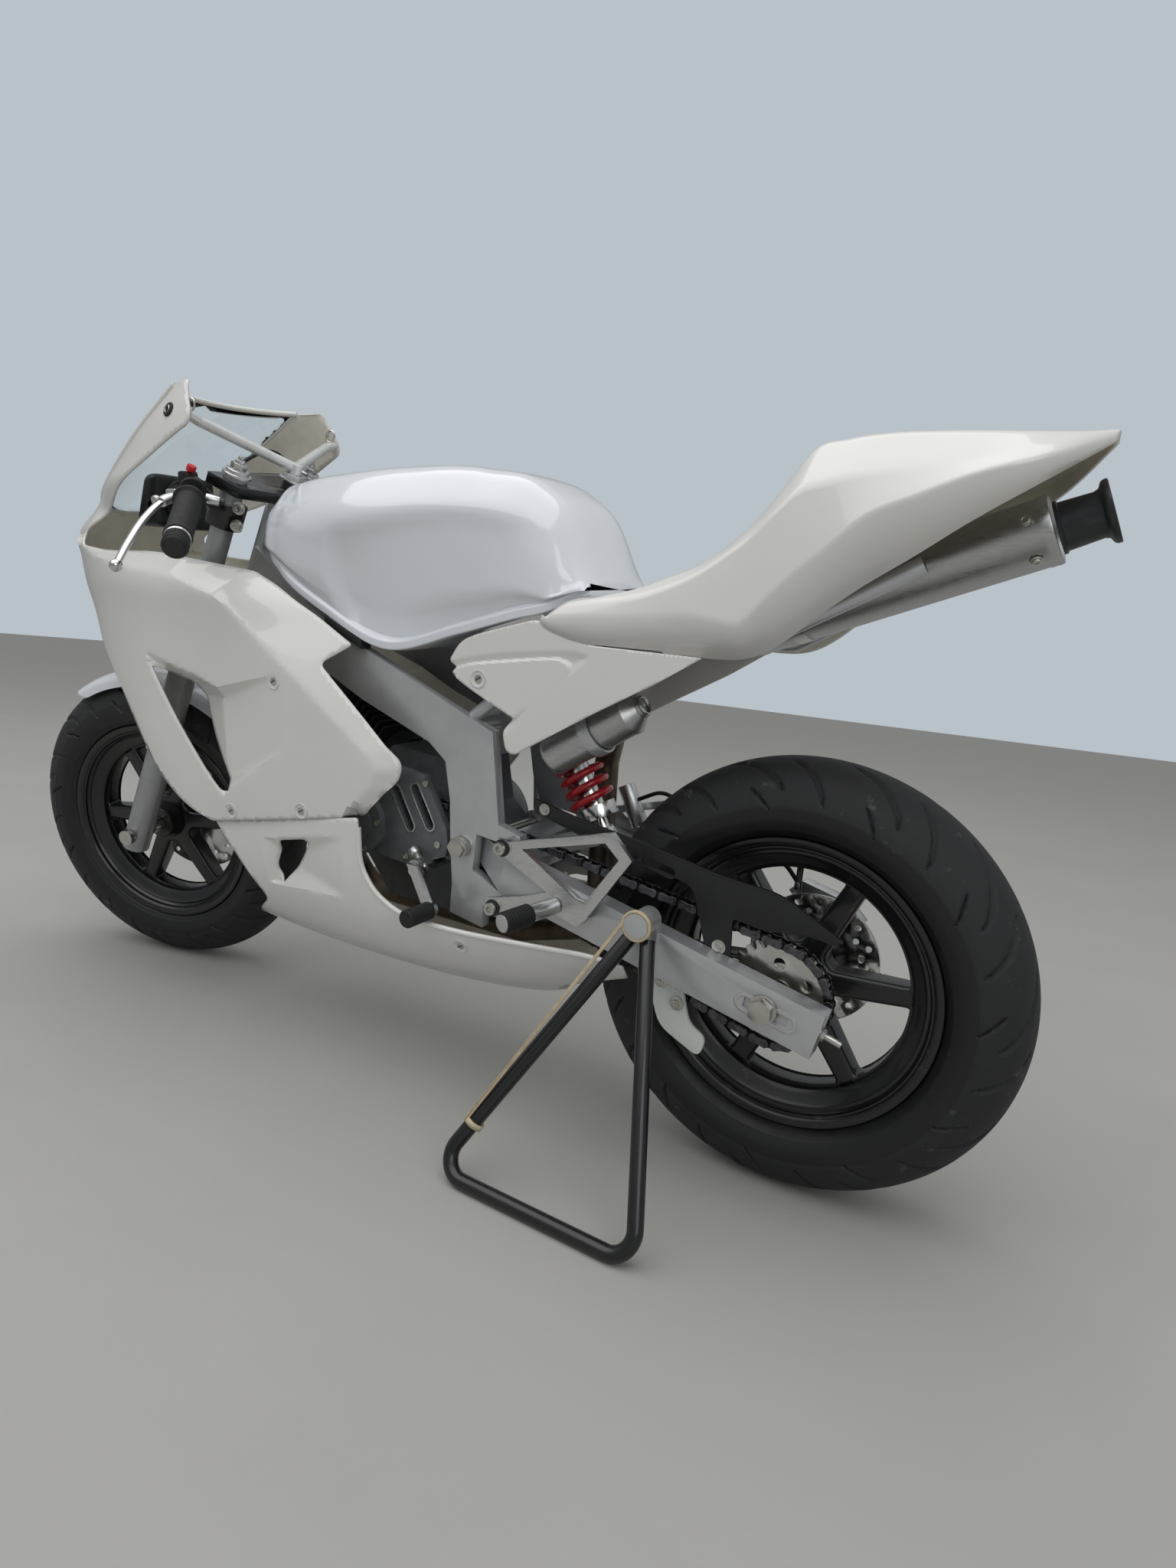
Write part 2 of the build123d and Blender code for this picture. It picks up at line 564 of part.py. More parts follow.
def vent_pocket(wall):
    """Fan-shaped dip behind the side vent, seen from the side and in plan."""
    fan = [(POCKET_BACK, 157.5 - wall), (770, 144 - wall), (906, 160 - wall), (906, 200), (POCKET_BACK, 200)]
    left = deck(fan, 330, 560) & slab(VENT_FAN, 100, 200)
    return left + mirror(left, about=Plane.XZ)


# The ridge on the fairing's side, from the front to the rear corner, as points on the skin
RIDGE = [(1010, 155, 657), (764, 166.5, 618), (508, 148, 434), (533, 147, 384)]
RIDGE_SLOPES = (0.75, 0.5, 0.5)
RIDGE_DEPTH = 1.2
RIDGE_LAP = 9.0
FLANK_REACH = 110.0
POCKET_BACK = 640.0
VENT_FAN = [(636, 442), (688, 407), (744, 367), (764, 368), (858, 502), (898, 545), (836, 525), (775, 506),
            (701, 519), (636, 532)]
outer_nose = loft(outer_rings, ruled=True)
inner_nose = loft(inner_rings, ruled=True)
for start, end, slope in zip(RIDGE, RIDGE[1:], RIDGE_SLOPES):
    outer_nose = outer_nose - flank(start, end, slope, 0)
    inner_nose = inner_nose - flank(start, end, slope, SHELL * math.hypot(1, slope))
outer_nose = outer_nose - vent_pocket(0)
inner_nose = inner_nose - vent_pocket(SHELL)
nose_shell = outer_nose - inner_nose

UPPER = [
    (835, 899), (1300, 899), (1300, 664), (1226, 657), (1150, 634), (1068, 589), (1040, 536),
    (1006, 490), (934, 401), (845, 323), (826, 306), (768, 317), (533, 362), (480, 416), (477, 437),
    (541, 494), (604, 548), (573, 573), (695, 638), (742, 655), (928, 674), (1047, 671), (1130, 678),
    (1140, 700), (1085, 732), (1000, 768), (925, 802), (880, 826), (852, 836), (842, 860),
]
SIDE_VENT = [(906, 546), (882, 524), (786, 503), (766, 489), (740, 368), (770, 360), (866, 500)]
SCREEN = [(106, 900), (103, 850), (96, 800), (76, 752), (46, 726), (0, 718)]


def front_window(half, grow):
    """Straight cutter seen from the front, over the nose."""
    points = [(y + grow, z) for y, z in half[:-1]]
    points[0] = (points[0][0], 905)
    last = (0, half[-1][1] - grow)
    corners = [(860, y, z) for y, z in points] + [(860, 0, last[1])]
    corners += [(860, -y, z) for y, z in reversed(points)]
    return extrude(make_face(Polyline(*corners, close=True)), amount=440, dir=(1, 0, 0))


upper = nose_shell & slab(UPPER, -200, 200)
for low, high in ((100, 200), (-200, -100)):
    upper = upper - slab(SIDE_VENT, low, high)
windscreen = upper & front_window(SCREEN, 0.0)
upper = upper - front_window(SCREEN, FIT)
# The cuts leave chips beside the shell, which is the largest solid
parts["upper_fairing"] = upper.solids().sort_by(SortBy.VOLUME)[-1]
parts["windscreen"] = windscreen

# Lower fairing: an open trough of stations
BELLY = [
    # x, then (half width, height) from the top edge to the keel
    (165, (117, 262), (115, 252), (109, 240), (93, 226), (62, 212), (0, 203)),
    (290, (134, 276), (131, 252), (120, 225), (98, 192), (62, 165), (0, 147)),
    (400, (146, 302), (142, 262), (130, 222), (106, 182), (64, 149), (0, 124)),
    (533, (149, 364), (146, 285), (135, 225), (110, 178), (66, 143), (0, 115)),
    (680, (149, 345), (147, 285), (137, 230), (112, 182), (68, 145), (0, 117)),
    (834, (147, 330), (145, 280), (135, 235), (112, 190), (70, 156), (0, 130)),
]
belly_sections = []
for row in BELLY:
    belly_sections.append(band(row[0], list(row[1:]), SHELL))
belly = skin(belly_sections)
LOWER = [
    (160, 100), (900, 100), (835, 136), (782, 165), (720, 208), (770, 262), (826, 306 - FIT),
    (768, 317 - FIT), (533, 362 - FIT), (533, 300), (510, 268), (480, 252), (445, 243),
    (367, 244), (209, 253), (160, 247),
]
belly = belly & slab(LOWER, -200, 200)
TAIL_NOTCH = [(100, -104), (100, 104), (262, 84), (300, 40), (300, -40), (262, -84)]
belly = belly - deck(TAIL_NOTCH, 90, 400)
LOW_VENT = [(684, 289), (676, 305), (630, 315), (625, 310), (680, 240), (692, 262)]
for low, high in ((100, 200), (-200, -100)):
    belly = belly - slab(LOW_VENT, low, high)
parts["lower_fairing"] = belly

# Fairing stay: a bracket on the head tube and a fork of two tubes to the nose ears
stay = rod(steer_point(706), steer_point(806), 8)
for side in (1, -1):
    stay = stay + bent_rod([(858, side * 130.6, 852.5), (858, side * 114, 846.7),
                            (steer_point(800)[0], side * -3, 800)], 7, 12)
parts["fairing_stay"] = stay

# Rearsets
def rearset(side):
    def y_span(low, high):
        return (low, high) if side > 0 else (-high, -low)

    y0, y1 = y_span(118, 125)
    body = slab([(338, 368), (322, 368), (208, 300), (222, 286), (256, 296), (330, 272), (348, 272),
                 (348, 292), (300, 304), (264, 318), (334, 352)], y0, y1)
    loop_outer = [(322, 366), (184, 403), (158, 376), (212, 296), (232, 306)]
    loop_inner = [(300, 362), (192, 390), (174, 374), (214, 316), (226, 318)]
    body = body + (slab(loop_outer, y0, y1) - slab(loop_inner, y0 - 1, y1 + 1))
    body = body + cross_bar(328, 358, min(side * 100.3, side * 118), max(side * 100.3, side * 118), 9)
    body = body + cross_bar(338, 282, min(side * 100.3, side * 118), max(side * 100.3, side * 118), 9)
    peg = rod((252, side * 125, 305), (272, side * 200, 300), 10)
    return body + peg


MASTER_RADIUS = 12.0
MASTER_LOW = Vector(264, -105.7, 352)
MASTER_HIGH = Vector(290, -105.7, 404)
parts["left_rearset"] = rearset(1)
parts["right_rearset"] = rearset(-1) + rod(MASTER_LOW, MASTER_HIGH, MASTER_RADIUS)
master_way = (MASTER_HIGH - MASTER_LOW).normalized()
master_back = Vector(-master_way.Z, 0, master_way.X)
master_side = MASTER_HIGH - master_way * 24 + master_back * (MASTER_RADIUS + 0.7)
shift = cross_bar(457, 304, CASE_HALF + FIT, 132, 6)
shift = shift + slab([(466, 312), (450, 312), (424, 262), (436, 256)], 124, 132)
shift = shift + cross_bar(430, 259, 124, 172, 10)
parts["shift_lever"] = shift
pedal = slab([(262, 316), (250, 306), (262, 296), (350, 262), (392, 250), (396, 262), (356, 276)],
             -134, -127)
pedal = pedal + cross_bar(390, 256, -160, -127, 8)
pedal = pedal - rod((252, -120, 305), (272, -200, 300), 10 + FIT)
parts["brake_pedal"] = pedal

# Catch tank under the left of the cowl
parts["catch_tank"] = rod(TANK_LOW, TANK_HIGH, CATCH_RADIUS)

# Shock absorber and spring
shock_low = Vector(SHOCK_EYE_LOW[0], 0, SHOCK_EYE_LOW[1])
shock_high = Vector(SHOCK_EYE_HIGH[0], 0, SHOCK_EYE_HIGH[1])
shock_dir = (shock_high - shock_low).normalized()
shock_length = (shock_high - shock_low).length


def on_shock(share):
    """Point on the shock's centre line: 0 at the lower eye, 1 at the upper one."""
    return shock_low + shock_dir * (shock_length * share)


shock = rod(on_shock(0.16), on_shock(0.86), 13)
# Seats of the spring, narrow shafts to the eyes, and the eyes
for low, high, radius in ((0.13, 0.232, 26), (0.765, 0.88, 30), (0.868, 1.0, 8.5), (0.0, 0.145, 8.5)):
    shock = shock + rod(on_shock(low), on_shock(high), radius)
shock = shock + cross_bar(SHOCK_EYE_HIGH[0], SHOCK_EYE_HIGH[1], -9, 9, 11)
shock = shock + cross_bar(SHOCK_EYE_LOW[0], SHOCK_EYE_LOW[1], -9, 9, 11)
parts["shock"] = shock
SPRING_WIRE = 4.5
spring_low = shock_length * 0.232 + SPRING_WIRE + FIT
spring_high = shock_length * 0.765 - SPRING_WIRE - FIT
spring_plane = Plane(origin=shock_low + shock_dir * spring_low, z_dir=shock_dir)
coil = Helix(pitch=(spring_high - spring_low) / 5, height=spring_high - spring_low, radius=26)
coil_start = Plane(origin=coil @ 0, z_dir=coil % 0)
parts["spring"] = spring_plane * sweep(coil_start * Circle(SPRING_WIRE), path=coil, is_frenet=True)

# Chain: two plate bands all round, and a roller core on the free runs
def chain_path(grow_rear, grow_drive):
    """Closed outline of the chain loop, moved out by an amount."""
    rr, rd = SPROCKET_PITCH_RADIUS + grow_rear, DRIVE_PITCH_RADIUS + grow_drive
    dx, dz = DRIVE_X, DRIVE_Z - REAR_RADIUS
    dist = math.hypot(dx, dz)
    base = math.atan2(dz, dx)
    open_angle = math.acos((rr - rd) / dist)
    points = []
    steps = 9
    for i in range(steps + 1):
        angle = base + open_angle + (2 * math.pi - 2 * open_angle) * i / steps
        points.append((rr * math.cos(angle), REAR_RADIUS + rr * math.sin(angle)))
    for i in range(6):
        angle = base - open_angle + 2 * open_angle * i / 5
        points.append((DRIVE_X + rd * math.cos(angle), DRIVE_Z + rd * math.sin(angle)))
    return points


plate_outer = slab(chain_path(6.2, 5.2), CHAIN_Y - 7.3, CHAIN_Y + 7.3)
plate_outer = plate_outer - slab(chain_path(-4.2, -4.6), CHAIN_Y - 8, CHAIN_Y + 8)
core_gap = cross_bar(0, REAR_RADIUS, CHAIN_Y - 3.6, CHAIN_Y + 3.6, SPROCKET_PITCH_RADIUS + 4.5)
core_gap = core_gap + cross_bar(DRIVE_X, DRIVE_Z, CHAIN_Y - 3.6, CHAIN_Y + 3.6, DRIVE_PITCH_RADIUS + 4.0)
parts["chain"] = plate_outer - core_gap

# Chain guard and lower guide
GUARD = [(309, 414), (245, 400), (146, 386), (72, 371), (3, 364), (-30, 348), (-65, 330), (-60, 323),
         (-30, 327), (16, 321), (52, 326), (50, 272), (78, 277), (92, 325), (100, 352), (226, 376), (309, 398)]
parts["chain_guard"] = slab(GUARD, 84, ARM_INNER - FIT)
GUIDE = [(150, 262), (146, 236), (128, 181), (76, 157), (69, 182), (91, 194), (99, 222), (104, 250)]
parts["chain_guide"] = slab(GUIDE, 84, ARM_INNER - FIT)

# Rear caliper above the right of the disc, on its bracket
CALIPER_BODY = [(-52, 51.5), (-30, 73.5), (24, 87.5), (40, 73.5), (20, 51.5), (-20, 43.5), (-40, 31.5)]
CALIPER_FOOT = [(-14, 0), (14, 0), (12, 51.5), (-22, 51.5)]
rear_cal = slab([(x, REAR_RADIUS + dz) for x, dz in CALIPER_BODY], -84, -64)
bracket = slab([(x, REAR_RADIUS + dz) for x, dz in CALIPER_FOOT], -89.7, -82)
bracket = bracket + cross_bar(0, REAR_RADIUS, -89.7, -82, 20)
bracket = bracket - cross_bar(0, REAR_RADIUS, -95, -80, AXLE_RADIUS + FIT)
parts["rear_caliper"] = rear_cal + bracket

# Steering parts, drawn straight ahead
rake_dir = (-math.sin(math.radians(RAKE)), math.cos(math.radians(RAKE)))


def leg_point(height, y):
    """Point on a fork leg's centre line; the height is that on the steering axis."""
    x, unused, z = steer_point(height, FORK_OFFSET)
    return (x, y, z)


for name, side in (("fork_left", 1), ("fork_right", -1)):
    y = side * LEG_Y
    leg = rod(leg_point(AXLE_HEIGHT - 24, y), leg_point(530, y), LEG_RADIUS)
    tube = rod(leg_point(520, y), leg_point(778, y), TUBE_RADIUS)
    leg = leg + tube
    leg = leg - cross_bar(WHEELBASE, FRONT_RADIUS, -120, 120, AXLE_RADIUS + FIT)
    parts[name] = leg
axle = cross_bar(WHEELBASE, FRONT_RADIUS, -106, 106, AXLE_RADIUS)
axle = axle + cross_bar(WHEELBASE, FRONT_RADIUS, LEG_Y + LEG_RADIUS + 0.5, 116, 12)
axle = axle + cross_bar(WHEELBASE, FRONT_RADIUS, -114, -LEG_Y - LEG_RADIUS - 0.5, 12)
axle = axle + cross_bar(WHEELBASE, FRONT_RADIUS, 40 + FIT, LEG_Y - LEG_RADIUS - 0.5, 12)
axle = axle + cross_bar(WHEELBASE, FRONT_RADIUS, -LEG_Y + LEG_RADIUS + 0.5, -50 - FIT, 12)
parts["front_axle"] = axle


def clamp(low, high, half, depth):
    """Bridge that holds both fork tubes, square to the steering axis."""
    rake = math.radians(RAKE)
    base = steer_point(low)
    plane = Plane(origin=base, x_dir=(math.cos(rake), 0, math.sin(rake)),
                  z_dir=(-math.sin(rake), 0, math.cos(rake)))
    length = (high - low) / math.cos(rake)
    points = [(FORK_OFFSET + depth, half), (FORK_OFFSET + depth, -half), (FORK_OFFSET - depth, -half),
              (-20, -24), (-20, 24), (FORK_OFFSET - depth, half)]
    face = make_face(Polyline(*points, close=True))
    body = plane * extrude(face, amount=length)
    for side in (1, -1):
        body = body - rod(leg_point(low - 60, side * LEG_Y), leg_point(high + 60, side * LEG_Y),
                          TUBE_RADIUS + FIT)
    return body


stem = rod(steer_point(596), steer_point(784), 14)
stem_bore = rod(steer_point(700), steer_point(800), 8 + FIT)
lower_bridge = clamp(592, 618, 108, 26) + stem - stem_bore
parts["lower_bridge"] = lower_bridge
top_bridge = clamp(758, 772, 110, 26) - rod(steer_point(700), steer_point(800), 14 + FIT)
parts["top_bridge"] = top_bridge

# The bar runs straight from its inner end to its outer end; a short arm joins it to the clamp
BAR_INNER = (STEER_FOOT_X - 280.83, 125.0, 775.1)
BAR_END = (STEER_FOOT_X - 371.13, 283.0, 705.0)
BAR_RADIUS = 11.0
GRIP_RADIUS = 17.0
LEVER_X = STEER_FOOT_X - 275.13


def bar_point(y, side):
    """Point on the bar's centre line at a distance across."""
    t = (y - BAR_INNER[1]) / (BAR_END[1] - BAR_INNER[1])
    return (BAR_INNER[0] + (BAR_END[0] - BAR_INNER[0]) * t, side * y,
            BAR_INNER[2] + (BAR_END[2] - BAR_INNER[2]) * t)


for name, grip_name, side in (("left_handlebar", "left_grip", 1), ("right_handlebar", "right_grip", -1)):
    collar = rod(leg_point(712, side * LEG_Y), leg_point(742, side * LEG_Y), 25)
    arm_bar = rod(leg_point(727, side * LEG_Y), bar_point(130, side), 10)
    body = collar + arm_bar + rod(bar_point(125, side), bar_point(283, side), BAR_RADIUS)
    parts[name] = body - rod(leg_point(690, side * LEG_Y), leg_point(800, side * LEG_Y), TUBE_RADIUS + FIT)
    grip = rod(bar_point(165, side), bar_point(283, side), GRIP_RADIUS)
    parts[grip_name] = grip - rod(bar_point(150, side), bar_point(290, side), BAR_RADIUS + FIT)

PERCH_INNER = 142.0
for name, side in (("clutch_lever", 1), ("brake_lever", -1)):
    perch = rod(bar_point(PERCH_INNER, side), bar_point(PERCH_INNER + 20, side), 18)
    blade = bent_rod([(LEVER_X, side * 150, 762), (LEVER_X - 8, side * 210, 742),
                      (LEVER_X + 10, side * 265, 680)], 6, 40)
    tip = place(LEVER_X + 8, side * 265, 672) * Sphere(9)
    parts[name] = perch + blade + tip - rod(bar_point(120, side), bar_point(283, side), BAR_RADIUS + FIT)

# Front fender: a shell over the tyre
FENDER_IN = FRONT_RADIUS + 9
FENDER_SKIRT = FENDER_IN - 23.5
fender = turned([(-46, FENDER_SKIRT), (-34, FENDER_IN - 8), (0, FENDER_IN), (34, FENDER_IN - 8),
                 (46, FENDER_SKIRT), (49, FENDER_SKIRT), (37, FENDER_IN - 5.5), (0, FENDER_IN + 3),
                 (-37, FENDER_IN - 5.5), (-49, FENDER_SKIRT)], WHEELBASE, FRONT_RADIUS)
# Seen from the axle, the fender spans the sector between these outer points
FENDER_SECTOR = [(0, 0), (220, 197.5), (148, 317.5), (-80, 357.5), (-180, 277.5), (-234, 237.5)]
fender = fender & slab([(WHEELBASE + dx, FRONT_RADIUS + dz) for dx, dz in FENDER_SECTOR], -80, 80)
ear_x, unused, ear_z = leg_point(AXLE_HEIGHT + (FENDER_SKIRT + 4) * math.cos(math.radians(RAKE)), 0)
for side in (1, -1):
    ends = sorted((side * 44, side * (LEG_Y - LEG_RADIUS - FIT)))
    fender = fender + cross_bar(ear_x, ear_z, ends[0], ends[1], 11)
parts["front_fender"] = fender

FRONT_CALIPER = [(-150, 1.5), (-150, 77.5), (-112, 109.5), (-84, 87.5), (-90, 19.5), (-120, -4.5)]
FRONT_LUG = [(-95, 19.5), (-38, 33.5), (-50, 69.5), (-95, 77.5)]


def from_axle(points):
    """Side-view points given from the front axle."""
    return [(WHEELBASE + dx, FRONT_RADIUS + dz) for dx, dz in points]


front_cal = slab(from_axle(FRONT_CALIPER), -78, -58) + slab(from_axle(FRONT_LUG), -78, -66)
front_cal = front_cal - rod(leg_point(AXLE_HEIGHT - 30, -LEG_Y), leg_point(540, -LEG_Y), LEG_RADIUS + FIT)
parts["front_caliper"] = front_cal

# Instrument box on the stay side of the nose
instrument = slab([(1036, 712), (1090, 712), (1070, 790), (1040, 790)], -55, 55)
instrument = instrument + slab([(1080, 716), (1205.6, 716), (1205.6, 722), (1080, 722)], -15, 15)
parts["instrument"] = instrument

# Stand: bent rod triangle on the ground, and its socket on the arm
def on_ground(x, y, height):
    """Point on the ground plane, given on the upright drawing."""
    lean = math.radians(LEAN)
    z = height + ORIGIN_Z
    return (x, y * math.cos(lean) - z * math.sin(lean), y * math.sin(lean) + z * math.cos(lean))


foot_front = on_ground(298.5, 270.7, STAND_ROD)
foot_rear = on_ground(47.8, 280.8, STAND_ROD)
top_front = (SOCKET_X + 9, 132, SOCKET_Z - 14)
stand = bent_rod([top_front, foot_front, foot_rear, (SOCKET_X - 9, 134, SOCKET_Z - 18)], STAND_ROD, 24)
parts["stand"] = stand - rod((SOCKET_X, ARM_OUTER - 2, SOCKET_Z), (SOCKET_X, 150, SOCKET_Z), 14 + FIT)

# Rubber band: a turn round the socket, a stretched strand and a turn round the stand's front rod
BAND = 2.0
front_run = (Vector(*foot_front) - Vector(*top_front)).normalized()
knot = Vector(*top_front) + (Vector(*foot_front) - Vector(*top_front)) * 0.8
top_turn = cross_bar(SOCKET_X, SOCKET_Z, SOCKET_END - 5.4, SOCKET_END - 0.4, 14 + FIT + 3)
top_turn = top_turn - cross_bar(SOCKET_X, SOCKET_Z, SOCKET_END - 6, SOCKET_END, 14 + FIT)
low_turn = rod(knot - front_run * 3, knot + front_run * 3, STAND_ROD + FIT + 3)
low_turn = low_turn - rod(knot - front_run * 5, knot + front_run * 5, STAND_ROD + FIT)
strand_top = Vector(SOCKET_X + 14 + FIT + BAND + 0.1, SOCKET_END - 2.9, SOCKET_Z)
off_rod = strand_top - Vector(*top_front)
off_rod = (off_rod - front_run * off_rod.dot(front_run)).normalized()
strand = rod(strand_top, knot + off_rod * (STAND_ROD + FIT + BAND + 0.1), BAND)
parts["stand_band"] = top_turn + low_turn + strand


# Brake hoses: straight runs joined by arcs as large as the runs allow
HOSE = 2.75


def hose(points):
    """Round hose of a route, its arcs 0.45 of the shorter run over the tangent of half the turn."""
    route = [Vector(*p) for p in points]
    radii = []
    for before, corner, after in zip(route, route[1:], route[2:]):
        turn = math.radians((corner - before).get_angle(after - corner))
        shorter = min((corner - before).length, (after - corner).length)
        radii.append(0.45 * shorter / math.tan(turn / 2))
    print("arc radii in mm:", [round(r) for r in radii])
    path = FilletPolyline(*route, radius=radii)
    seat = Plane(origin=path @ 0, z_dir=path % 0)
    return sweep(seat * Circle(HOSE), path=path)


bar_way = (Vector(*BAR_END) - Vector(*BAR_INNER)).normalized()
bar_way = Vector(bar_way.X, -bar_way.Y, bar_way.Z)
above = Vector(0, 0, 1)
above = (above - bar_way * above.dot(bar_way)).normalized()
outlet = Vector(*bar_point(PERCH_INNER, -1)) + above * 14.4 - bar_way * FIT
caliper_top = Vector(WHEELBASE - 131, -68, FRONT_RADIUS + 93.5)
lug_way = Vector(-0.644, 0, 0.765)
parts["front_brake_hose"] = hose([
    outlet, outlet - bar_way * 30, (884, -82, 826), (882, -44, 826), (888, 3, 808),
    (893, 40, 782), (900, 46, 735), (914, 34, 690), (940, 14, 651), (968, -16, 618), (968, -42, 578),
    (938, -52, 545), (905, -74, 512), (912, -88, 455), (920, -80, 405),
    caliper_top + lug_way * 30, caliper_top + lug_way * FIT])
parts["rear_brake_hose"] = hose([
    (32.3, -74, REAR_RADIUS + 80.9), (53, -76, 352), (92, -85, 350), (134, -97, 333), (164, -101, 347),
    (190, -105, 378), master_side + master_back * 41, master_side])

STEERING = ["fork_left", "fork_right", "front_axle", "lower_bridge", "top_bridge", "left_handlebar",
            "right_handlebar", "left_grip", "right_grip", "clutch_lever", "brake_lever",
            "front_fender", "front_caliper", "front_brake_hose", "front_tyre", "front_rim", "front_disc"]

for name, shape in parts.items():
    if name in STEERING:
        shape = steered(shape)
    shape = parked(shape)
    export_step(shape, "parts/" + name + ".step")
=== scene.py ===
import math
import bmesh
import bpy
import numpy as np
from mathutils import Matrix, Vector
from mathutils.geometry import delaunay_2d_cdt


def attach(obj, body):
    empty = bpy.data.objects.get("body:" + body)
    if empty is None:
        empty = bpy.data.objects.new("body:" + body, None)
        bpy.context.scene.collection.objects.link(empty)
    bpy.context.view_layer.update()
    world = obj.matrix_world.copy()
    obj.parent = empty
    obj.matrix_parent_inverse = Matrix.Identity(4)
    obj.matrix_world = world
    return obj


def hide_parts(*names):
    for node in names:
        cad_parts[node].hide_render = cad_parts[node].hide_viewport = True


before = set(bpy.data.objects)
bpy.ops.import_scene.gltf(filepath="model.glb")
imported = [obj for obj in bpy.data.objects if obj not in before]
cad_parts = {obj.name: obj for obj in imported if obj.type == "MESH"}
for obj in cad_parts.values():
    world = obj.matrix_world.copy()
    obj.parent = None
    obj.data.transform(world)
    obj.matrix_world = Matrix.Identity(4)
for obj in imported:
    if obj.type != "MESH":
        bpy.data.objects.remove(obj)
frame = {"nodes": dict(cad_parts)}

bl_info = {
    "name": "Mini racing motorcycle",
    "version": (1, 0, 0),
    "blender": (4, 5, 0),
    "location": "View3D > Sidebar > Motorcycle",
    "description": "Dresses the packed motorcycle in moulded shells, cast wheels and worked metal",
    "category": "Object",
}

# Shapes are drawn in millimetres on the upright machine: x forward, y left, z up, with
# the ground at z = 0 under the rear axle. bike() then steers, leans and shifts them.
MM = 0.001
LEAN = math.radians(5.05)
STEER_REST = math.radians(14.9)
RAKE = math.radians(24.0)
ORIGIN = np.array((534.3, 53.0, -1.06))
REAR_AXLE = (0.0, 248.5)
FRONT_AXLE = (1080.0, 242.5)
FORK_OFFSET = 30.0
AXLE_HEIGHT = FRONT_AXLE[1] - FORK_OFFSET * math.sin(RAKE)
STEER_FOOT = np.array((FRONT_AXLE[0] + AXLE_HEIGHT * math.tan(RAKE) - FORK_OFFSET * math.cos(RAKE), 0.0, 0.0))
LEG_Y = 85.0
CHAIN_Y = 73.0
CHAIN_PITCH = 12.7
REAR_TEETH = 28
DRIVE_TEETH = 14
DRIVE = (470.0, 352.0)
SHELL = 3.0

# The camera stands behind the machine's left side, on its raised left hand.
CAMERA_AT = Vector((-0.8034, 0.9862, 0.5739))
CAMERA_YAW = math.radians(-60.889)
CAMERA_PITCH = math.radians(7.592)
CAMERA_ROLL = math.radians(6.085)
CAMERA_LENS = 21.304
SENSOR = 36.0

# Soft lamps: name, place, what it faces, width in metres, power; and the sky's strength and colours
LAMPS = (
    ("high_lamp", (0.6, 1.2, 4.2), (0, 0, 0.4), 6.5, 125.0),
    ("rear_lamp", (-3.2, 2.6, 2.2), (0, 0, 0.5), 2.6, 26.0),
)
SKY_LIGHT = 0.6
SKY_LOW = "8F979B"
SKY_HIGH = "FFFFFF"


def turning(angle, axis):
    """Rotation by an angle about an axis through the origin, as an array."""
    return np.array(Matrix.Rotation(angle, 3, axis))


STEER_AXIS = Vector((-math.sin(RAKE), 0.0, math.cos(RAKE)))
STEER_TURN = turning(STEER_REST, STEER_AXIS)
LEAN_TURN = turning(-LEAN, "X")


def bike(points, steers=False):
    """Points of the upright drawing in the part's frame, in metres.

    They are turned on the steering axis if they steer, leaned about the ground line and shifted.
    """
    p = np.asarray(points, float)
    if steers:
        p = (p - STEER_FOOT) @ STEER_TURN.T + STEER_FOOT
    return (p @ LEAN_TURN.T - ORIGIN) * MM


def steer_point(height, forward=0.0, y=0.0):
    """Point beside the steering axis: so high on it, so far in front of it."""
    x = STEER_FOOT[0] - height * math.tan(RAKE) + forward * math.cos(RAKE)
    return np.array((x, y, height + forward * math.sin(RAKE)))


# Lines and outlines
def unit(v):
    """Vectors of the same direction with length one."""
    v = np.asarray(v, float)
    return v / np.maximum(np.linalg.norm(v, axis=-1, keepdims=True), 1e-9)


def soften(points, reach, steps=4, closed=False):
    """Corners as curves (1-t)^2 a + 2t(1-t) p + t^2 b; a and b lie a reach before and after a corner p."""
    p = np.asarray(points, float)
    back, ahead = np.roll(p, 1, -2) - p, np.roll(p, -1, -2) - p
    room = np.minimum(np.linalg.norm(back, axis=-1), np.linalg.norm(ahead, axis=-1)) * 0.48
    cut = np.minimum(np.broadcast_to(reach, p.shape[:-1]), room)
    if not closed:
        cut = cut.copy()
        cut[..., 0] = cut[..., -1] = 0.0
    a, b = p + unit(back) * cut[..., None], p + unit(ahead) * cut[..., None]
    t = np.linspace(0, 1, steps + 1)[:, None]
    curve = ((1 - t) ** 2 * a[..., None, :] + 2 * t * (1 - t) * p[..., None, :]
             + t ** 2 * b[..., None, :])
    return curve.reshape(p.shape[:-2] + (-1, p.shape[-1]))


def rounded(table, steps, closed=False):
    """The line of a table of (x, z, reach), each corner rounded by its own reach."""
    return soften(table[:, :2], table[:, 2], steps, closed)


def travelled(line):
    """Distance along a line, or along each of several, at every point."""
    steps = np.linalg.norm(np.diff(line, axis=-2), axis=-1)
    return np.insert(np.cumsum(steps, -1), 0, 0.0, axis=-1)


def divide(line, spacing, closed=False):
    """The same line with points no further apart than a spacing, corners kept."""
    p = np.asarray(line, float)
    ends = np.vstack([p, p[:1]]) if closed else p
    rows = []
    for a, b in zip(ends[:-1], ends[1:]):
        n = max(1, math.ceil(np.linalg.norm(b - a) / spacing))
        if np.linalg.norm(b - a) > 1e-6:
            rows.append(a + (b - a) * (np.arange(n) / n)[:, None])
    if not closed:
        rows.append(p[-1:])
    return np.vstack(rows)


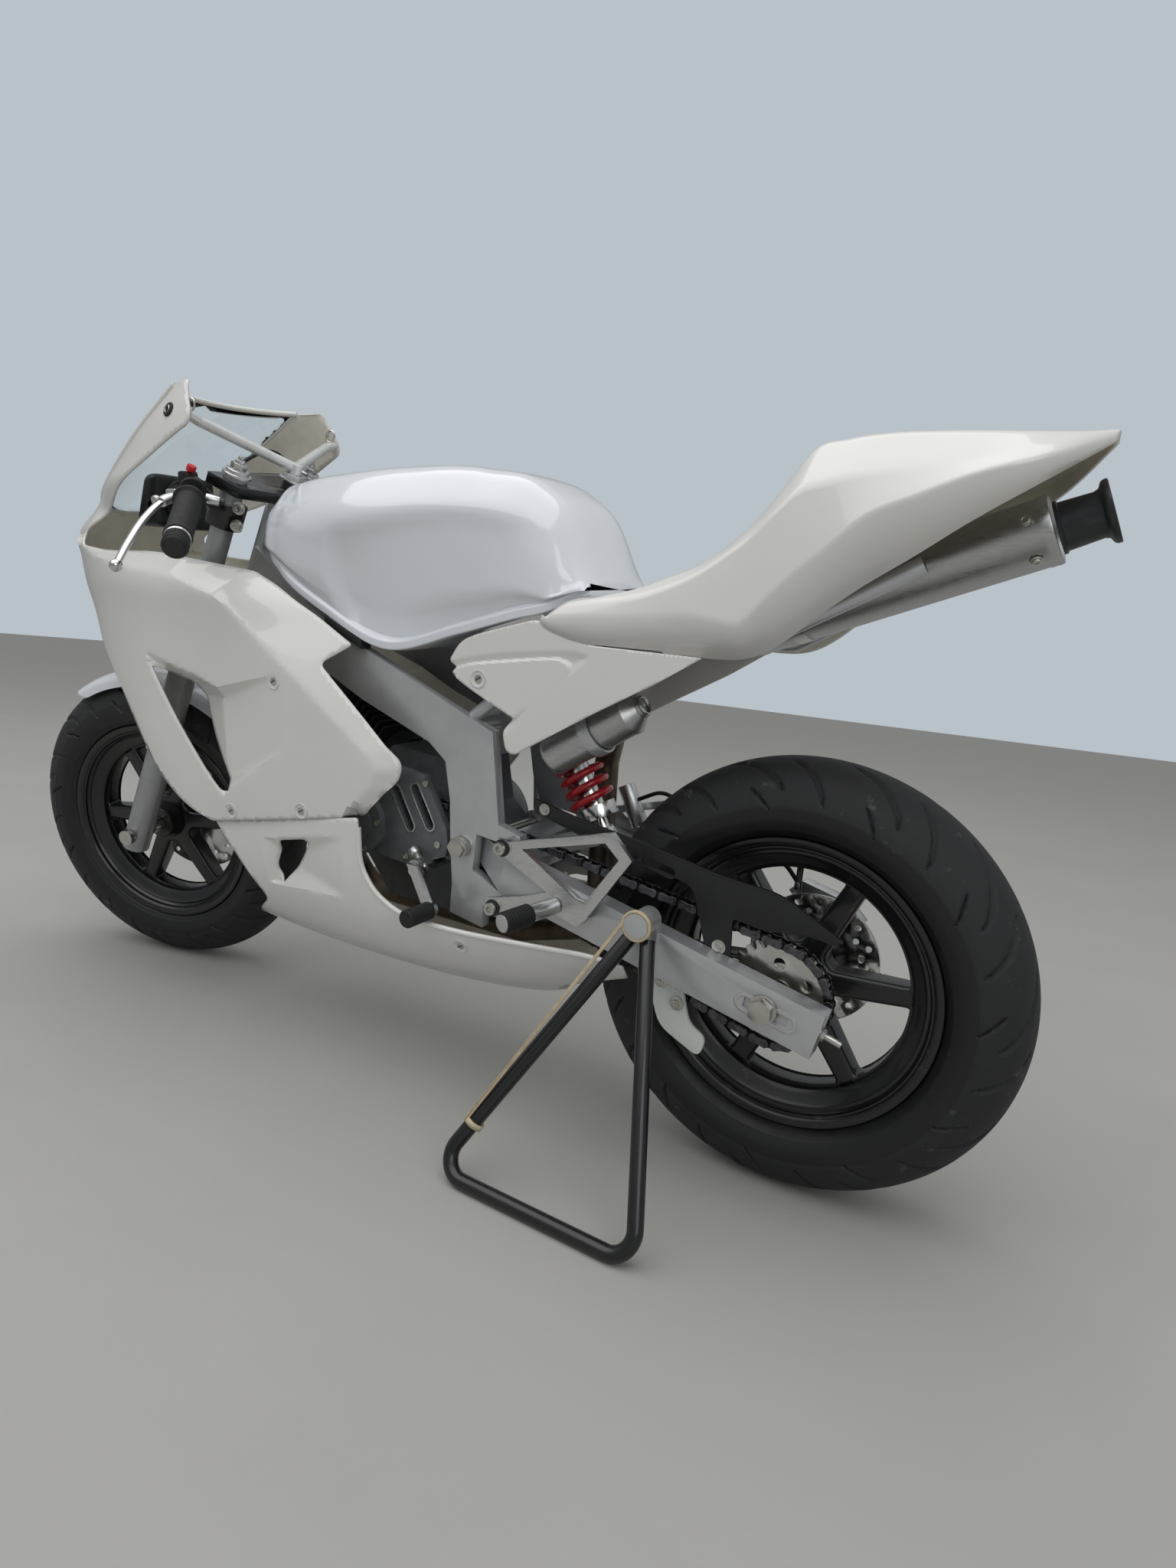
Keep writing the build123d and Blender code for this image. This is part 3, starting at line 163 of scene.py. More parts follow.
def smooth(t, at, values):
    """Values at t on a cubic through a table: Hermite pieces, each slope the mean of those beside it."""
    at, values = np.asarray(at, float), np.asarray(values, float)
    if values.ndim == 1:
        return smooth(t, at, values[:, None])[..., 0]
    slopes = np.gradient(values, at, axis=0)
    t = np.clip(np.asarray(t, float), at[0], at[-1])
    k = np.clip(np.searchsorted(at, t) - 1, 0, len(at) - 2)
    h = (at[k + 1] - at[k])[..., None]
    s = (t - at[k])[..., None] / h
    return ((2 * s ** 3 - 3 * s ** 2 + 1) * values[k] + (s ** 3 - 2 * s ** 2 + s) * h * slopes[k]
            + (3 * s ** 2 - 2 * s ** 3) * values[k + 1] + (s ** 3 - s ** 2) * h * slopes[k + 1])


def through(points, count=60):
    """A smooth line of so many points through a few given ones, by their distance along it."""
    p = np.asarray(points, float)
    at = travelled(p)
    return smooth(np.linspace(0, at[-1], count), at, p)


def circle(x, z, radius, count=32, start=0.0, sweep=2 * math.pi):
    """Points (x, z) round a circle."""
    a = start + np.linspace(0, sweep, count, endpoint=sweep < 2 * math.pi - 1e-6)
    return np.stack([x + radius * np.cos(a), z + radius * np.sin(a)], -1)


def slot_outline(x0, z0, x1, z1, half, count=8):
    """Outline of a slot with round ends about two centres."""
    turn = math.atan2(z1 - z0, x1 - x0)
    return np.vstack([circle(x1, z1, half, count, turn - math.pi / 2, math.pi),
                      circle(x0, z0, half, count, turn + math.pi / 2, math.pi)])


def apart(line):
    """The line without points that lie on the one before."""
    return line[np.r_[True, np.linalg.norm(np.diff(line, axis=0), axis=1) > 0.3]]


def area(loop):
    """Signed area of an outline."""
    x, z = loop[:, 0], loop[:, 1]
    return 0.5 * np.sum(x * np.roll(z, -1) - z * np.roll(x, -1))


def grown(loop, amount):
    """An outline moved outwards by an amount, each corner along its mitre."""
    ahead = unit(np.roll(loop, -1, 0) - loop)
    back = np.roll(ahead, 1, 0)
    out = np.stack([ahead[:, 1] + back[:, 1], -ahead[:, 0] - back[:, 0]], -1)
    size = 1 + np.sum(ahead * back, -1, keepdims=True)
    return loop + out / np.maximum(size, 0.35) * amount * np.sign(area(loop))


def inside(points, loops):
    """True where a point lies inside an odd number of outlines."""
    odd = np.zeros(len(points), bool)
    x, z = points[:, 0], points[:, 1]
    for loop in loops:
        for (x0, z0), (x1, z1) in zip(loop, np.roll(loop, -1, 0)):
            if z0 != z1:
                odd ^= ((z0 > z) != (z1 > z)) & (x < (x1 - x0) * (z - z0) / (z1 - z0) + x0)
    return odd


def beyond(points, line):
    """Signed distance from an open line: positive on its left, looking along it."""
    best = np.full(len(points), 1e9)
    sign = np.ones(len(points))
    for a, b in zip(line[:-1], line[1:]):
        run = b - a
        t = np.clip(((points - a) @ run) / (run @ run), 0, 1)
        off = points - a - t[:, None] * run
        gap = np.linalg.norm(off, axis=1)
        side = run[0] * off[:, 1] - run[1] * off[:, 0]
        nearer = gap < best - 1e-9
        best = np.where(nearer, gap, best)
        sign = np.where(nearer, np.where(side >= 0, 1.0, -1.0), sign)
    return best * sign


def fill(loops, spacing=0.0, creases=()):
    """Triangles between outlines in a plane, on a net of inner points; crease lines stay edges."""
    points, edges, count = [], [], 0
    for line, closed in [(l, True) for l in loops] + [(c, False) for c in creases]:
        ids = np.arange(len(line)) + count
        pairs = np.stack([ids, np.roll(ids, -1)], -1)
        edges.append(pairs if closed else pairs[:-1])
        points.append(np.asarray(line, float))
        count += len(line)
    points, edges = np.vstack(points), np.vstack(edges)
    if spacing:
        low, high = points.min(0), points.max(0)
        gx = np.arange(low[0] + spacing * 0.37, high[0], spacing)
        gz = np.arange(low[1] + spacing * 0.37, high[1], spacing * 0.866)
        net_points = np.stack(np.meshgrid(gx, gz, indexing="ij"), -1)
        net_points[:, 1::2, 0] += spacing / 2
        net_points = net_points.reshape(-1, 2)
        net_points = net_points[inside(net_points, loops)]
        for line in loops + list(creases):
            if len(net_points):
                off = net_points[:, None] - line[None]
                net_points = net_points[np.hypot(off[..., 0], off[..., 1]).min(1) > 0.6 * spacing]
        points = np.vstack([points, net_points])
    made = delaunay_2d_cdt([Vector(p) for p in points.tolist()], edges.tolist(), [], 0, 1e-4)
    flat = np.array(made[0], float)
    tris = np.array(made[2], int).reshape(-1, 3)
    tris = tris[inside(flat[tris].mean(1), loops)]
    return flat, np.hstack([tris, np.full((len(tris), 1), -1)])


# Surfaces: a shape is an array of points and an array of faces, with -1 for no corner
def net(points, close_u=False, close_v=False):
    """Four-sided faces over a grid of points; a closed side joins its last row to its first."""
    p = np.asarray(points, float)
    m, n = p.shape[:2]
    ids = np.arange(m * n).reshape(m, n)
    if close_u:
        ids = np.vstack([ids, ids[:1]])
    if close_v:
        ids = np.hstack([ids, ids[:, :1]])
    quads = np.stack([ids[:-1, :-1], ids[1:, :-1], ids[1:, 1:], ids[:-1, 1:]], -1)
    return p.reshape(-1, 3), quads.reshape(-1, 4)


def joined(shapes):
    """Several shapes as one."""
    starts = np.cumsum([0] + [len(v) for v, f in shapes])
    faces = [np.where(f >= 0, f + s, -1) for (v, f), s in zip(shapes, starts)]
    return np.vstack([v for v, f in shapes]), np.vstack(faces)


def mirrored(shape):
    """The same shape on the other side of the machine's middle plane."""
    v, f = shape
    flipped = f[:, ::-1].copy()
    threes = f[:, 3] < 0
    flipped[threes] = np.hstack([f[threes][:, 2::-1], np.full((threes.sum(), 1), -1)])
    return v * (1, -1, 1), flipped


def moved(shape, origin, turn=None):
    """A shape turned about the origin, then shifted."""
    v = shape[0] if turn is None else shape[0] @ np.asarray(turn).T
    return v + np.asarray(origin, float), shape[1]


def tube(path, radius, sides=16, closed=False, squash=1.0):
    """A circle carried square along a path, turned as little as the path turns; its ends close to a point."""
    p = np.asarray(path, float)
    r = np.broadcast_to(np.asarray(radius, float), len(p)).copy()
    ahead = np.roll(p, -1, 0) - np.roll(p, 1, 0) if closed else np.gradient(p, axis=0)
    ahead = unit(ahead)
    across = np.cross(ahead[0], (0.0, 0.0, 1.0) if abs(ahead[0][2]) < 0.9 else (1.0, 0.0, 0.0))
    sides_out = []
    for d in ahead:
        across = unit(across - d * (across @ d))
        sides_out.append(across)
    side = np.array(sides_out)
    over = np.cross(side, ahead)
    a = np.linspace(0, 2 * math.pi, sides, endpoint=False)
    ring = (np.cos(a)[None, :, None] * side[:, None] + squash * np.sin(a)[None, :, None] * over[:, None])
    grid = p[:, None] + ring * r[:, None, None]
    if not closed:
        grid = np.concatenate([np.repeat(p[:1, None], sides, 1), grid, np.repeat(p[-1:, None], sides, 1)])
    return net(grid, closed, True)


def lathe(profile, start=(0, 0, 0), axis=(0, 1, 0), sides=64, closed=False):
    """A profile of (distance along the axis, radius) turned about an axis from a start point."""
    prof = np.asarray(profile, float)
    d = unit(axis)
    side = unit(np.cross(d, (0, 0, 1) if abs(d[2]) < 0.9 else (1, 0, 0)))
    over = np.cross(side, d)
    a = np.linspace(0, 2 * math.pi, sides, endpoint=False)
    ring = np.cos(a)[:, None] * side + np.sin(a)[:, None] * over
    grid = np.asarray(start, float) + prof[:, None, :1] * d + prof[:, None, 1:] * ring[None]
    return net(grid, closed, True)


def drum(radius, low, high, edge=0.8):
    """Profile of a disc with rounded rims, for lathe: from one depth to another."""
    e = min(edge, radius * 0.5, abs(high - low) * 0.45)
    return [(low, 0), (low, radius - e), (low + e * 0.3, radius - e * 0.3), (low + e, radius),
            (high - e, radius), (high - e * 0.3, radius - e * 0.3), (high, radius - e), (high, 0)]


def bar(start, end, radius):
    """A straight round bar with rounded rims between two points."""
    run = np.asarray(end, float) - np.asarray(start, float)
    return lathe(drum(radius, 0, float(np.linalg.norm(run))), start, run, 24)


def plate(loops, low, high, edge=1.0, steps=2, warp=None):
    """A plate with side outlines (x, z), the first its rim and the rest holes; warp may bend its points.

    Both faces are filled, with walls between them and rounded edges.
    """
    loops = [np.asarray(l, float) for l in loops]
    loops = [l if area(l) > 0 else l[::-1] for l in loops]
    a = np.linspace(0, math.pi / 2, steps + 1)
    insets = np.concatenate([edge * (1 - np.sin(a)), (edge * (1 - np.sin(a)))[::-1]])
    depths = np.concatenate([low + edge * (1 - np.cos(a)), (high - edge * (1 - np.cos(a)))[::-1]])
    shapes, inner = [], []
    for k, loop in enumerate(loops):
        way = -1 if k == 0 else 1
        rings = [np.insert(grown(loop, way * i), 1, y, axis=1) for i, y in zip(insets, depths)]
        inner.append(rings[0][:, [0, 2]])
        shapes.append(net(np.array(rings), False, True))
    flat, tris = fill(inner)
    for y in (low, high):
        shapes.append((np.insert(flat, 1, y, axis=1), tris))
    v, f = joined(shapes)
    return (warp(v) if warp else v), f


def block(size, origin, turn=None, edge=1.5):
    """A block with rounded edges about its middle."""
    a, b, c = np.asarray(size, float) / 2
    loop = soften([(-a, -c), (a, -c), (a, c), (-a, c)], edge, 3, True)
    return moved(plate([loop], -b, b, edge * 0.6), origin, turn)


def toward(direction, up=(0, 0, 1)):
    """Turn that lays the drawing's y axis along a direction, with z near up."""
    y = unit(direction)
    x = unit(np.cross(y, up))
    return np.stack([x, y, np.cross(x, y)], 1)


def bolt(at, direction=(0, 1, 0), size=5.0, height=4.0, washer=0.0, socket=False):
    """Hexagon head on a round washer, or a round head with a hexagon socket."""
    turn = toward(direction, (0.2, 0.1, 1))
    shapes = []
    if washer:
        shapes.append(lathe(drum(washer, 0, 1.4, 0.3), sides=28))
    low = 1.4 if washer else 0.0
    if socket:
        ring = circle(0, 0, size * 0.5, 6)
        shapes.append(plate([circle(0, 0, size, 24), ring], low, low + height, 0.6))
        floor = low + height * 0.45
        shapes.append(lathe([(low, 0), (floor, 0), (floor, size * 0.5)], sides=12))
    else:
        shapes.append(plate([circle(0, 0, size, 6)], low, low + height, 0.5))
        shapes.append(lathe(drum(size * 0.45, low + height, low + height + size * 0.35, 0.4), sides=16))
    return moved(joined(shapes), at, turn)


def piece(name, body, parts, replaces=(), sharp=32, wall=0.0, lining=None, loose=False):
    """Puts shapes into the scene as one object on a body; parts is a list of (shape, finish name)."""
    shapes = [s for s, m in parts]
    looks = []
    for s, m in parts:
        if m not in looks:
            looks.append(m)
    marks = np.concatenate([np.full(len(s[1]), looks.index(m)) for s, m in parts])
    verts, faces = joined(shapes)
    verts = bike(verts, body in ("steering", "front_wheel"))
    mesh = bpy.data.meshes.new(name)
    sizes = (faces >= 0).sum(1)
    mesh.vertices.add(len(verts))
    mesh.vertices.foreach_set("co", verts.astype(np.float32).ravel())
    mesh.loops.add(int(sizes.sum()))
    mesh.loops.foreach_set("vertex_index", faces[faces >= 0].astype(np.int32))
    mesh.polygons.add(len(faces))
    mesh.polygons.foreach_set("loop_start", np.concatenate([[0], sizes.cumsum()[:-1]]).astype(np.int32))
    mesh.polygons.foreach_set("material_index", marks.astype(np.int32))
    mesh.update(calc_edges=True)
    for m in looks + ([lining] if lining else []):
        mesh.materials.append(LOOK[m])
    work = bmesh.new()
    work.from_mesh(mesh)
    bmesh.ops.remove_doubles(work, verts=work.verts, dist=2e-6)
    bmesh.ops.dissolve_degenerate(work, edges=work.edges, dist=1e-6)
    if not loose:
        bmesh.ops.recalc_face_normals(work, faces=work.faces)
    work.to_mesh(mesh)
    work.free()
    mesh.polygons.foreach_set("use_smooth", np.ones(len(mesh.polygons), bool))
    mesh.set_sharp_from_angle(angle=math.radians(sharp))
    made = bpy.data.objects.new(name, mesh)
    bpy.context.scene.collection.objects.link(made)
    if wall:
        thick = made.modifiers.new("Wall", "SOLIDIFY")
        thick.thickness = wall * MM
        thick.offset = -1
        thick.material_offset = len(looks) if lining else 0
    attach(made, body)
    if replaces:
        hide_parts(*replaces)


def shell(name, shapes, node, lining="laminate", sharp=24):
    """A white moulded shell: skins with a wall inwards."""
    piece(name, "chassis", [(s, "gelcoat") for s in shapes], [node], sharp=sharp, wall=SHELL,
          lining=lining, loose=True)


def ribs(start, pitch, count, rib):
    """Profile of ribs in a row, each drawn as (distance, radius) from its own start."""
    return [(start + k * pitch + along, radius) for k in range(count) for along, radius in rib]


# Sizes and colours that a user would change
def paint(label, text, code):
    """Colour property whose default is an sRGB hex code."""
    return bpy.props.FloatVectorProperty(name=label, description=text, subtype="COLOR", size=3,
                                         min=0.0, max=1.0, default=linear(code))


def linear(code):
    """Linear colour of an sRGB hex code."""
    s = np.array([int(code[i:i + 2], 16) for i in (0, 2, 4)]) / 255
    return tuple(float(c) for c in np.where(s <= 0.04045, s / 12.92, ((s + 0.055) / 1.055) ** 2.4))


class ShellColours(bpy.types.PropertyGroup):
    """Colours of the moulded shells."""
    gelcoat: paint("Gelcoat", "Warm white of the fairings and the seat cowl", "DEDDD9")
    # Partly painted light: the laminate's own cream, lightened so that the shaded inner faces of the shells
    # read as lit
    raw_inside: paint("Inner face", "Cream of the laminate inside the fairings", "E6E1D2")
    tank: paint("Tank", "Cool white lacquer of the tank", "DDE1E8")


class MetalColours(bpy.types.PropertyGroup):
    """Colours of the painted and bare metal."""
    frame: paint("Frame", "Silver paint of the frame and swingarm", "BFC1C3")
    aluminium: paint("Aluminium", "Bare machined aluminium", "CFD0D0")
    zinc: paint("Zinc", "Zinc-plated steel of bolts", "C4C3BC")
    fork: paint("Fork", "Grey satin of the fork legs", "A6A8AA")
    engine: paint("Engine", "Dark grey of the engine covers", "6C6F72")
    spring: paint("Spring", "Red powder coat of the spring", "B3131F")
    black: paint("Black", "Satin black of wheels and brackets", "17181A")


class RubberSizes(bpy.types.PropertyGroup):
    """Sizes of the tyres' pattern."""
    groove_depth: bpy.props.FloatProperty(name="Groove depth", description="Depth of a tread groove",
                                          default=3.6 * MM, min=0.0, max=5 * MM, subtype="DISTANCE",
                                          unit="LENGTH")
    groove_count: bpy.props.IntProperty(name="Grooves", description="Groups of grooves round each tyre",
                                        default=11, min=4, max=24)


class StageSizes(bpy.types.PropertyGroup):
    """Floor and light of the studio."""
    floor: paint("Floor", "Pale floor under the machine", "A9A8A4")
    backdrop: paint("Backdrop", "Pale grey behind the machine", "B9C2C8")
    floor_size: bpy.props.FloatProperty(name="Floor size", description="Width of the floor",
                                        default=30.0, min=4.0, subtype="DISTANCE", unit="LENGTH")


# Finishes by their name here
LOOK = {}


def add(tree, kind, inputs=None, **settings):
    """Adds a node with its settings; inputs maps a socket's name or number to a value or another socket."""
    made = tree.nodes.new(kind)
    for key, value in settings.items():
        setattr(made, key, value)
    for key, value in (inputs or {}).items():
        if isinstance(value, bpy.types.NodeSocket):
            tree.links.new(value, made.inputs[key])
        else:
            made.inputs[key].default_value = value
    return made


def finish(key, name, colour, rough, metallic=0.0, mottle=0.05, patch=80.0, grain=0.0, grain_size=1.0,
           coat=0.0, uneven=0.06, stretch=(1, 1, 1), dust=None, dust_share=0.0, **sockets):
    """A finish, kept in LOOK: patches of shade, uneven gloss, a grain in relief and dust; sizes are in mm."""
    made = LOOK[key] = bpy.data.materials.new(name)
    made.use_nodes = True
    tree = made.node_tree
    tree.nodes.clear()
    place = add(tree, "ShaderNodeTexCoord").outputs["Object"]
    dark = tuple(c * (1 - mottle * 2) for c in colour) + (1.0,)
    light = tuple(min(1.0, c * (1 + mottle)) for c in colour) + (1.0,)
    stretched = add(tree, "ShaderNodeMapping", {"Vector": place, "Scale": stretch}).outputs[0]
    clouds = add(tree, "ShaderNodeTexNoise", {"Vector": stretched, "Scale": 1000 / patch, "Detail": 4.0,
                                              "Roughness": 0.6}).outputs["Fac"]
    shade = add(tree, "ShaderNodeMapRange", {"Value": clouds, "From Min": 0.3, "From Max": 0.7}).outputs[0]
    tone = add(tree, "ShaderNodeMix", {"Factor": shade, 6: dark, 7: light}, data_type="RGBA").outputs[2]
    if dust:
        specks = add(tree, "ShaderNodeTexNoise", {"Vector": place, "Scale": 1000 / 28.0, "Detail": 8.0,
                                                  "Roughness": 0.75}).outputs["Fac"]
        share = add(tree, "ShaderNodeMapRange", {"Value": specks, "From Min": 0.62 - dust_share * 0.4,
                                                 "From Max": 0.75}).outputs[0]
        tone = add(tree, "ShaderNodeMix", {"Factor": share, 6: tone, 7: linear(dust) + (1.0,)},
                   data_type="RGBA").outputs[2]
    gloss = add(tree, "ShaderNodeMapRange", {"Value": clouds, "From Min": 0.25, "From Max": 0.75,
                                             "To Min": max(rough - uneven, 0.02),
                                             "To Max": min(rough + uneven, 1.0)}).outputs[0]
    shader = add(tree, "ShaderNodeBsdfPrincipled", {"Base Color": tone, "Roughness": gloss,
                                                    "Metallic": metallic, "Coat Weight": coat,
                                                    "Coat Roughness": 0.04})
    for key, value in sockets.items():
        shader.inputs[key.replace("_", " ").title().replace("Ior", "IOR")].default_value = value
    if grain:
        fine = add(tree, "ShaderNodeTexNoise", {"Vector": stretched, "Scale": 1000 / grain_size,
                                                "Detail": 3.0}).outputs["Fac"]
        relief = add(tree, "ShaderNodeBump", {"Height": fine, "Strength": 1.0,
                                              "Distance": grain * MM}).outputs[0]
        tree.links.new(relief, shader.inputs["Normal"])
    out = add(tree, "ShaderNodeOutputMaterial")
    tree.links.new(shader.outputs[0], out.inputs["Surface"])


def make_finishes():
    """Every finish of the machine, by its name here."""
    shells, metals = bpy.context.scene.bike_shells, bpy.context.scene.bike_metals
    # Polyester gelcoat, moulded and polished: even warm white under a clear gloss, faintly wavy.
    finish("gelcoat", "gelcoat_white", shells.gelcoat, 0.24, coat=0.7, mottle=0.012, patch=160, grain=0.05,
           grain_size=38, uneven=0.04)
    # Glass-fibre laminate from the mould's open side: dull cream with a coarse weave. Its cream is partly
    # painted light, lightened so that the shaded inner faces read as lit.
    finish("laminate", "laminate_with_painted_light", shells.raw_inside, 0.62, mottle=0.06, patch=30, grain=0.25,
           grain_size=4)
    # Two-pack lacquer on steel: cool white, very glossy.
    finish("lacquer", "tank_lacquer", shells.tank, 0.16, coat=1.0, mottle=0.012, patch=200, grain=0.02,
           grain_size=60, uneven=0.03)
    # Silver spray paint on steel: fine flake, low sheen.
    finish("silver", "silver_paint", metals.frame, 0.36, metallic=0.62, mottle=0.04, patch=45, grain=0.03,
           grain_size=0.8, coat=0.25)
    # Milled and brushed aluminium.
    finish("aluminium", "bare_aluminium", metals.aluminium, 0.3, metallic=1.0, mottle=0.06, patch=14,
           grain=0.03, grain_size=1.2, stretch=(1, 1, 6))
    # Rolled aluminium can, brushed along the band, with handling marks.
    finish("can", "brushed_can", linear("BDBEBE"), 0.34, metallic=1.0, mottle=0.07, patch=22, grain=0.05,
           grain_size=1.4, stretch=(1, 9, 9), uneven=0.1)
    # Bright zinc on steel bolts.
    finish("zinc", "zinc_plate", metals.zinc, 0.3, metallic=1.0, mottle=0.04, patch=26)
    # Polished steel tube.
    finish("steel", "polished_steel", linear("D4D4D2"), 0.18, metallic=1.0, mottle=0.04, patch=12)
    # White enamel on steel tube, which wears thin and silvery at its bends; the finish is a little metallic
    # all over.
    finish("stay", "stay_enamel", linear("D6D7D6"), 0.3, metallic=0.35, mottle=0.05, patch=20, coat=0.4)
    # Satin grey anodised fork castings.
    finish("fork", "fork_anodised", metals.fork, 0.42, metallic=0.55, mottle=0.05, patch=30, grain=0.05,
           grain_size=1.5)
    # Sand-cast aluminium under dark paint.
    finish("engine", "engine_paint", metals.engine, 0.5, metallic=0.45, mottle=0.1, patch=18, grain=0.12,
           grain_size=1.6)
    # Oily black inside of the engine bay.
    finish("dark", "oily_casting", linear("2B2D2F"), 0.5, metallic=0.3, mottle=0.2, patch=16, grain=0.15,
           grain_size=2.5)
    # Powder coat on spring steel.
    finish("spring", "spring_powder", metals.spring, 0.3, coat=0.6, mottle=0.05, patch=10, grain=0.03,
           grain_size=1.0)
    # Satin black enamel on cast wheels.
    finish("wheel", "wheel_enamel", linear("0E0F11"), 0.34, coat=0.25, mottle=0.15, patch=40, grain=0.04,
           grain_size=1.2, dust="4A4744", dust_share=0.02)
    # Black enamel on steel rod and brackets.
    finish("black", "black_enamel", linear("0D0E10"), 0.3, coat=0.3, mottle=0.12, patch=20)
    # Fine-grained moulded plastic.
    finish("plastic", "black_plastic", metals.black, 0.52, mottle=0.1, patch=30, grain=0.08, grain_size=0.9)
    # Tyre sidewall: matt rubber with mould bloom.
    finish("sidewall", "sidewall_rubber", linear("101113"), 0.5, mottle=0.16, patch=45, grain=0.05,
           grain_size=1.5, uneven=0.1)
    # Tread rubber, scuffed grey by the road.
    finish("tread", "tread_rubber", linear("202123"), 0.72, mottle=0.16, patch=26, grain=0.2, grain_size=1.8,
           dust="5E5E5E", dust_share=0.03)
    # Moulded rubber of grips and pads.
    finish("rubber", "moulded_rubber", linear("151617"), 0.62, mottle=0.12, patch=12, grain=0.06,
           grain_size=1.0)
    # Natural rubber band, gone matt.
    finish("band", "natural_rubber", linear("C9B598"), 0.6, mottle=0.1, patch=8, subsurface_weight=0.15)
    # Oiled chain steel: outer plates and rollers.
    finish("chain", "chain_steel", linear("66666A"), 0.38, metallic=1.0, mottle=0.3, patch=6)
    # The chain's inner plates, darker with oil.
    finish("chain_dark", "chain_plate", linear("222224"), 0.42, metallic=0.8, mottle=0.3, patch=6)
    # Anodised, turned outlet, dulled by soot.
    finish("graphite", "turned_graphite", linear("3A3C3E"), 0.42, metallic=0.5, mottle=0.12, patch=14,
           stretch=(1, 6, 1))
    # White polyamide, moulded: soft gloss.
    finish("nylon", "white_nylon", linear("D9DAD6"), 0.45, mottle=0.03, patch=30, subsurface_weight=0.1)
    # Signal red switch.
    finish("switch", "switch_red", linear("C81E2A"), 0.35, mottle=0.05, patch=5)
    # Exhaust pipe browned by heat.
    finish("exhaust", "heated_steel", linear("7A6E62"), 0.4, metallic=0.9, mottle=0.25, patch=35)
    # Dark glass of the dial.
    finish("dial", "dial_glass", linear("101114"), 0.1, coat=1.0, mottle=0.05, patch=30)
    # Blown acrylic sheet: clear, thin and glossy, with faint waves that bend what lies behind.
    finish("screen", "clear_acrylic", linear("F2F6F6"), 0.02, mottle=0.005, patch=200, grain=0.03,
           grain_size=70, uneven=0.01, transmission_weight=1.0, ior=1.49)


# Shells. Plan sections of the nose: height, half width far back, widest station, half width there, tip
NOSE = np.array([
    (296, 132, 835, 152, 1010), (366, 138, 850, 160, 1052), (423, 142, 850, 163, 1104),
    (458, 144, 838, 164, 1137), (520, 148, 812, 167, 1190), (590, 150, 800, 169, 1217),
    (620, 150, 820, 170, 1228), (662, 142, 890, 158, 1240), (697, 140, 945, 155, 1241),
    (735, 138, 930, 152, 1200), (789, 134, 895, 146, 1135), (847, 128, 862, 137, 1066),
    (899, 116, 850, 122, 985),
], float)
NOSE_BACK = 430.0
# Side outline of the upper fairing, each corner with the reach of its rounding
UPPER = np.array([
    (1241, 659, 0), (1230, 657, 8), (1188, 640, 20), (1150, 612, 20), (1122, 575, 20), (1092, 528, 20),
    (1054, 488, 20), (986, 424, 20), (928, 368, 24), (872, 336, 20), (838, 320, 14), (800, 310.7, 5),
    (768, 317, 3), (533, 362, 8), (480, 416, 16), (477, 437, 16), (541, 494, 30), (604, 548, 9),
    (573, 573, 5), (630, 607, 20), (695, 638, 20), (742, 655, 8), (928, 674, 40), (1047, 671, 30),
    (1130, 678, 14), (1140, 700, 14), (1085, 732, 30), (1000, 768, 30), (925, 802, 30), (880, 826, 18),
    (852, 840, 10), (850, 856, 10), (868, 888, 8), (871, 899, 0),
], float)
SCREEN = np.array([(108, 899), (105, 850), (98, 805), (78, 765), (46, 742), (0, 736)], float)
SCREEN_FOOT = 736.0
CHIN = 659.0
SIDE_VENT = np.array([
    (916, 518), (879, 507), (834, 503), (824, 471), (806, 428), (775, 386), (757, 362), (775, 357),
    (797, 377), (836, 422), (878, 471),
], float)
VENT_FRONT = SIDE_VENT[[7, 8, 9, 10, 0]]
RIDGE = np.array([
    (1135, 676), (1075, 662), (953, 648), (882, 643), (816, 631), (771, 621), (750, 611), (688, 568),
    (624, 524), (565, 479), (514, 441), (504, 426), (512, 405), (533, 384),
], float)
POCKET_TOP = np.array([(932, 537), (836, 520), (769, 502), (685, 523), (640, 534)], float)
POCKET_LOW = np.array([(765, 360), (747, 372), (696, 406), (638, 441)], float)
UPPER_FASTENERS = ((665, 520), (627, 355), (758, 333))
EAR_EYE = (898, 860)
# The fold above the ridge: its depth, and over how far it bends in
FOLD_DEPTH = 52
FOLD_BEND = 2


def step(t):
    """Smooth step: 0 before 0, 3t^2 - 2t^3, 1 after 1."""
    t = np.clip(t, 0, 1)
    return t * t * (3 - 2 * t)


def soft_low(values, blur):
    """Least of several arrays, with its edges blurred: -blur log(sum exp(-v/blur))."""
    stack = np.array(values) / -blur
    top = stack.max(0)
    return -blur * (top + np.log(np.exp(stack - top).sum(0)))


def nose_rows(z):
    """Back half width, widest station, half width and tip of the nose at heights z."""
    return smooth(z, NOSE[:, 0], NOSE[:, 1:]).T


def unrolled(line):
    """Side-view points (x, z) as (w, z), w being the station unrolled over the nose's ellipse."""
    line = np.asarray(line, float)
    wide, tip = nose_rows(line[:, 1])[[1, 3]]
    share = np.clip((line[:, 0] - wide) / (tip - wide), 0, 1)
    w = np.where(share > 0, wide + (tip - wide) * np.arcsin(share) * 2 / math.pi, line[:, 0])
    return np.stack([w, line[:, 1]], -1)


def screen_line(inset=0.0):
    """The screen's edge in (w, z), from its top corner to the middle, from its front view."""
    line = through(SCREEN, 110) - (inset, 0)
    wide, half, tip = nose_rows(line[:, 1])[1:]
    w = wide + (tip - wide) * np.arccos(np.clip(line[:, 0] / half, 0, 1)) * 2 / math.pi
    return np.stack([w, line[:, 1]], -1)


def middle_line(low, high, count=12):
    """The nose's middle in (w, z) between two heights."""
    z = np.linspace(low, high, count)
    return np.stack([nose_rows(z)[3], z], -1)


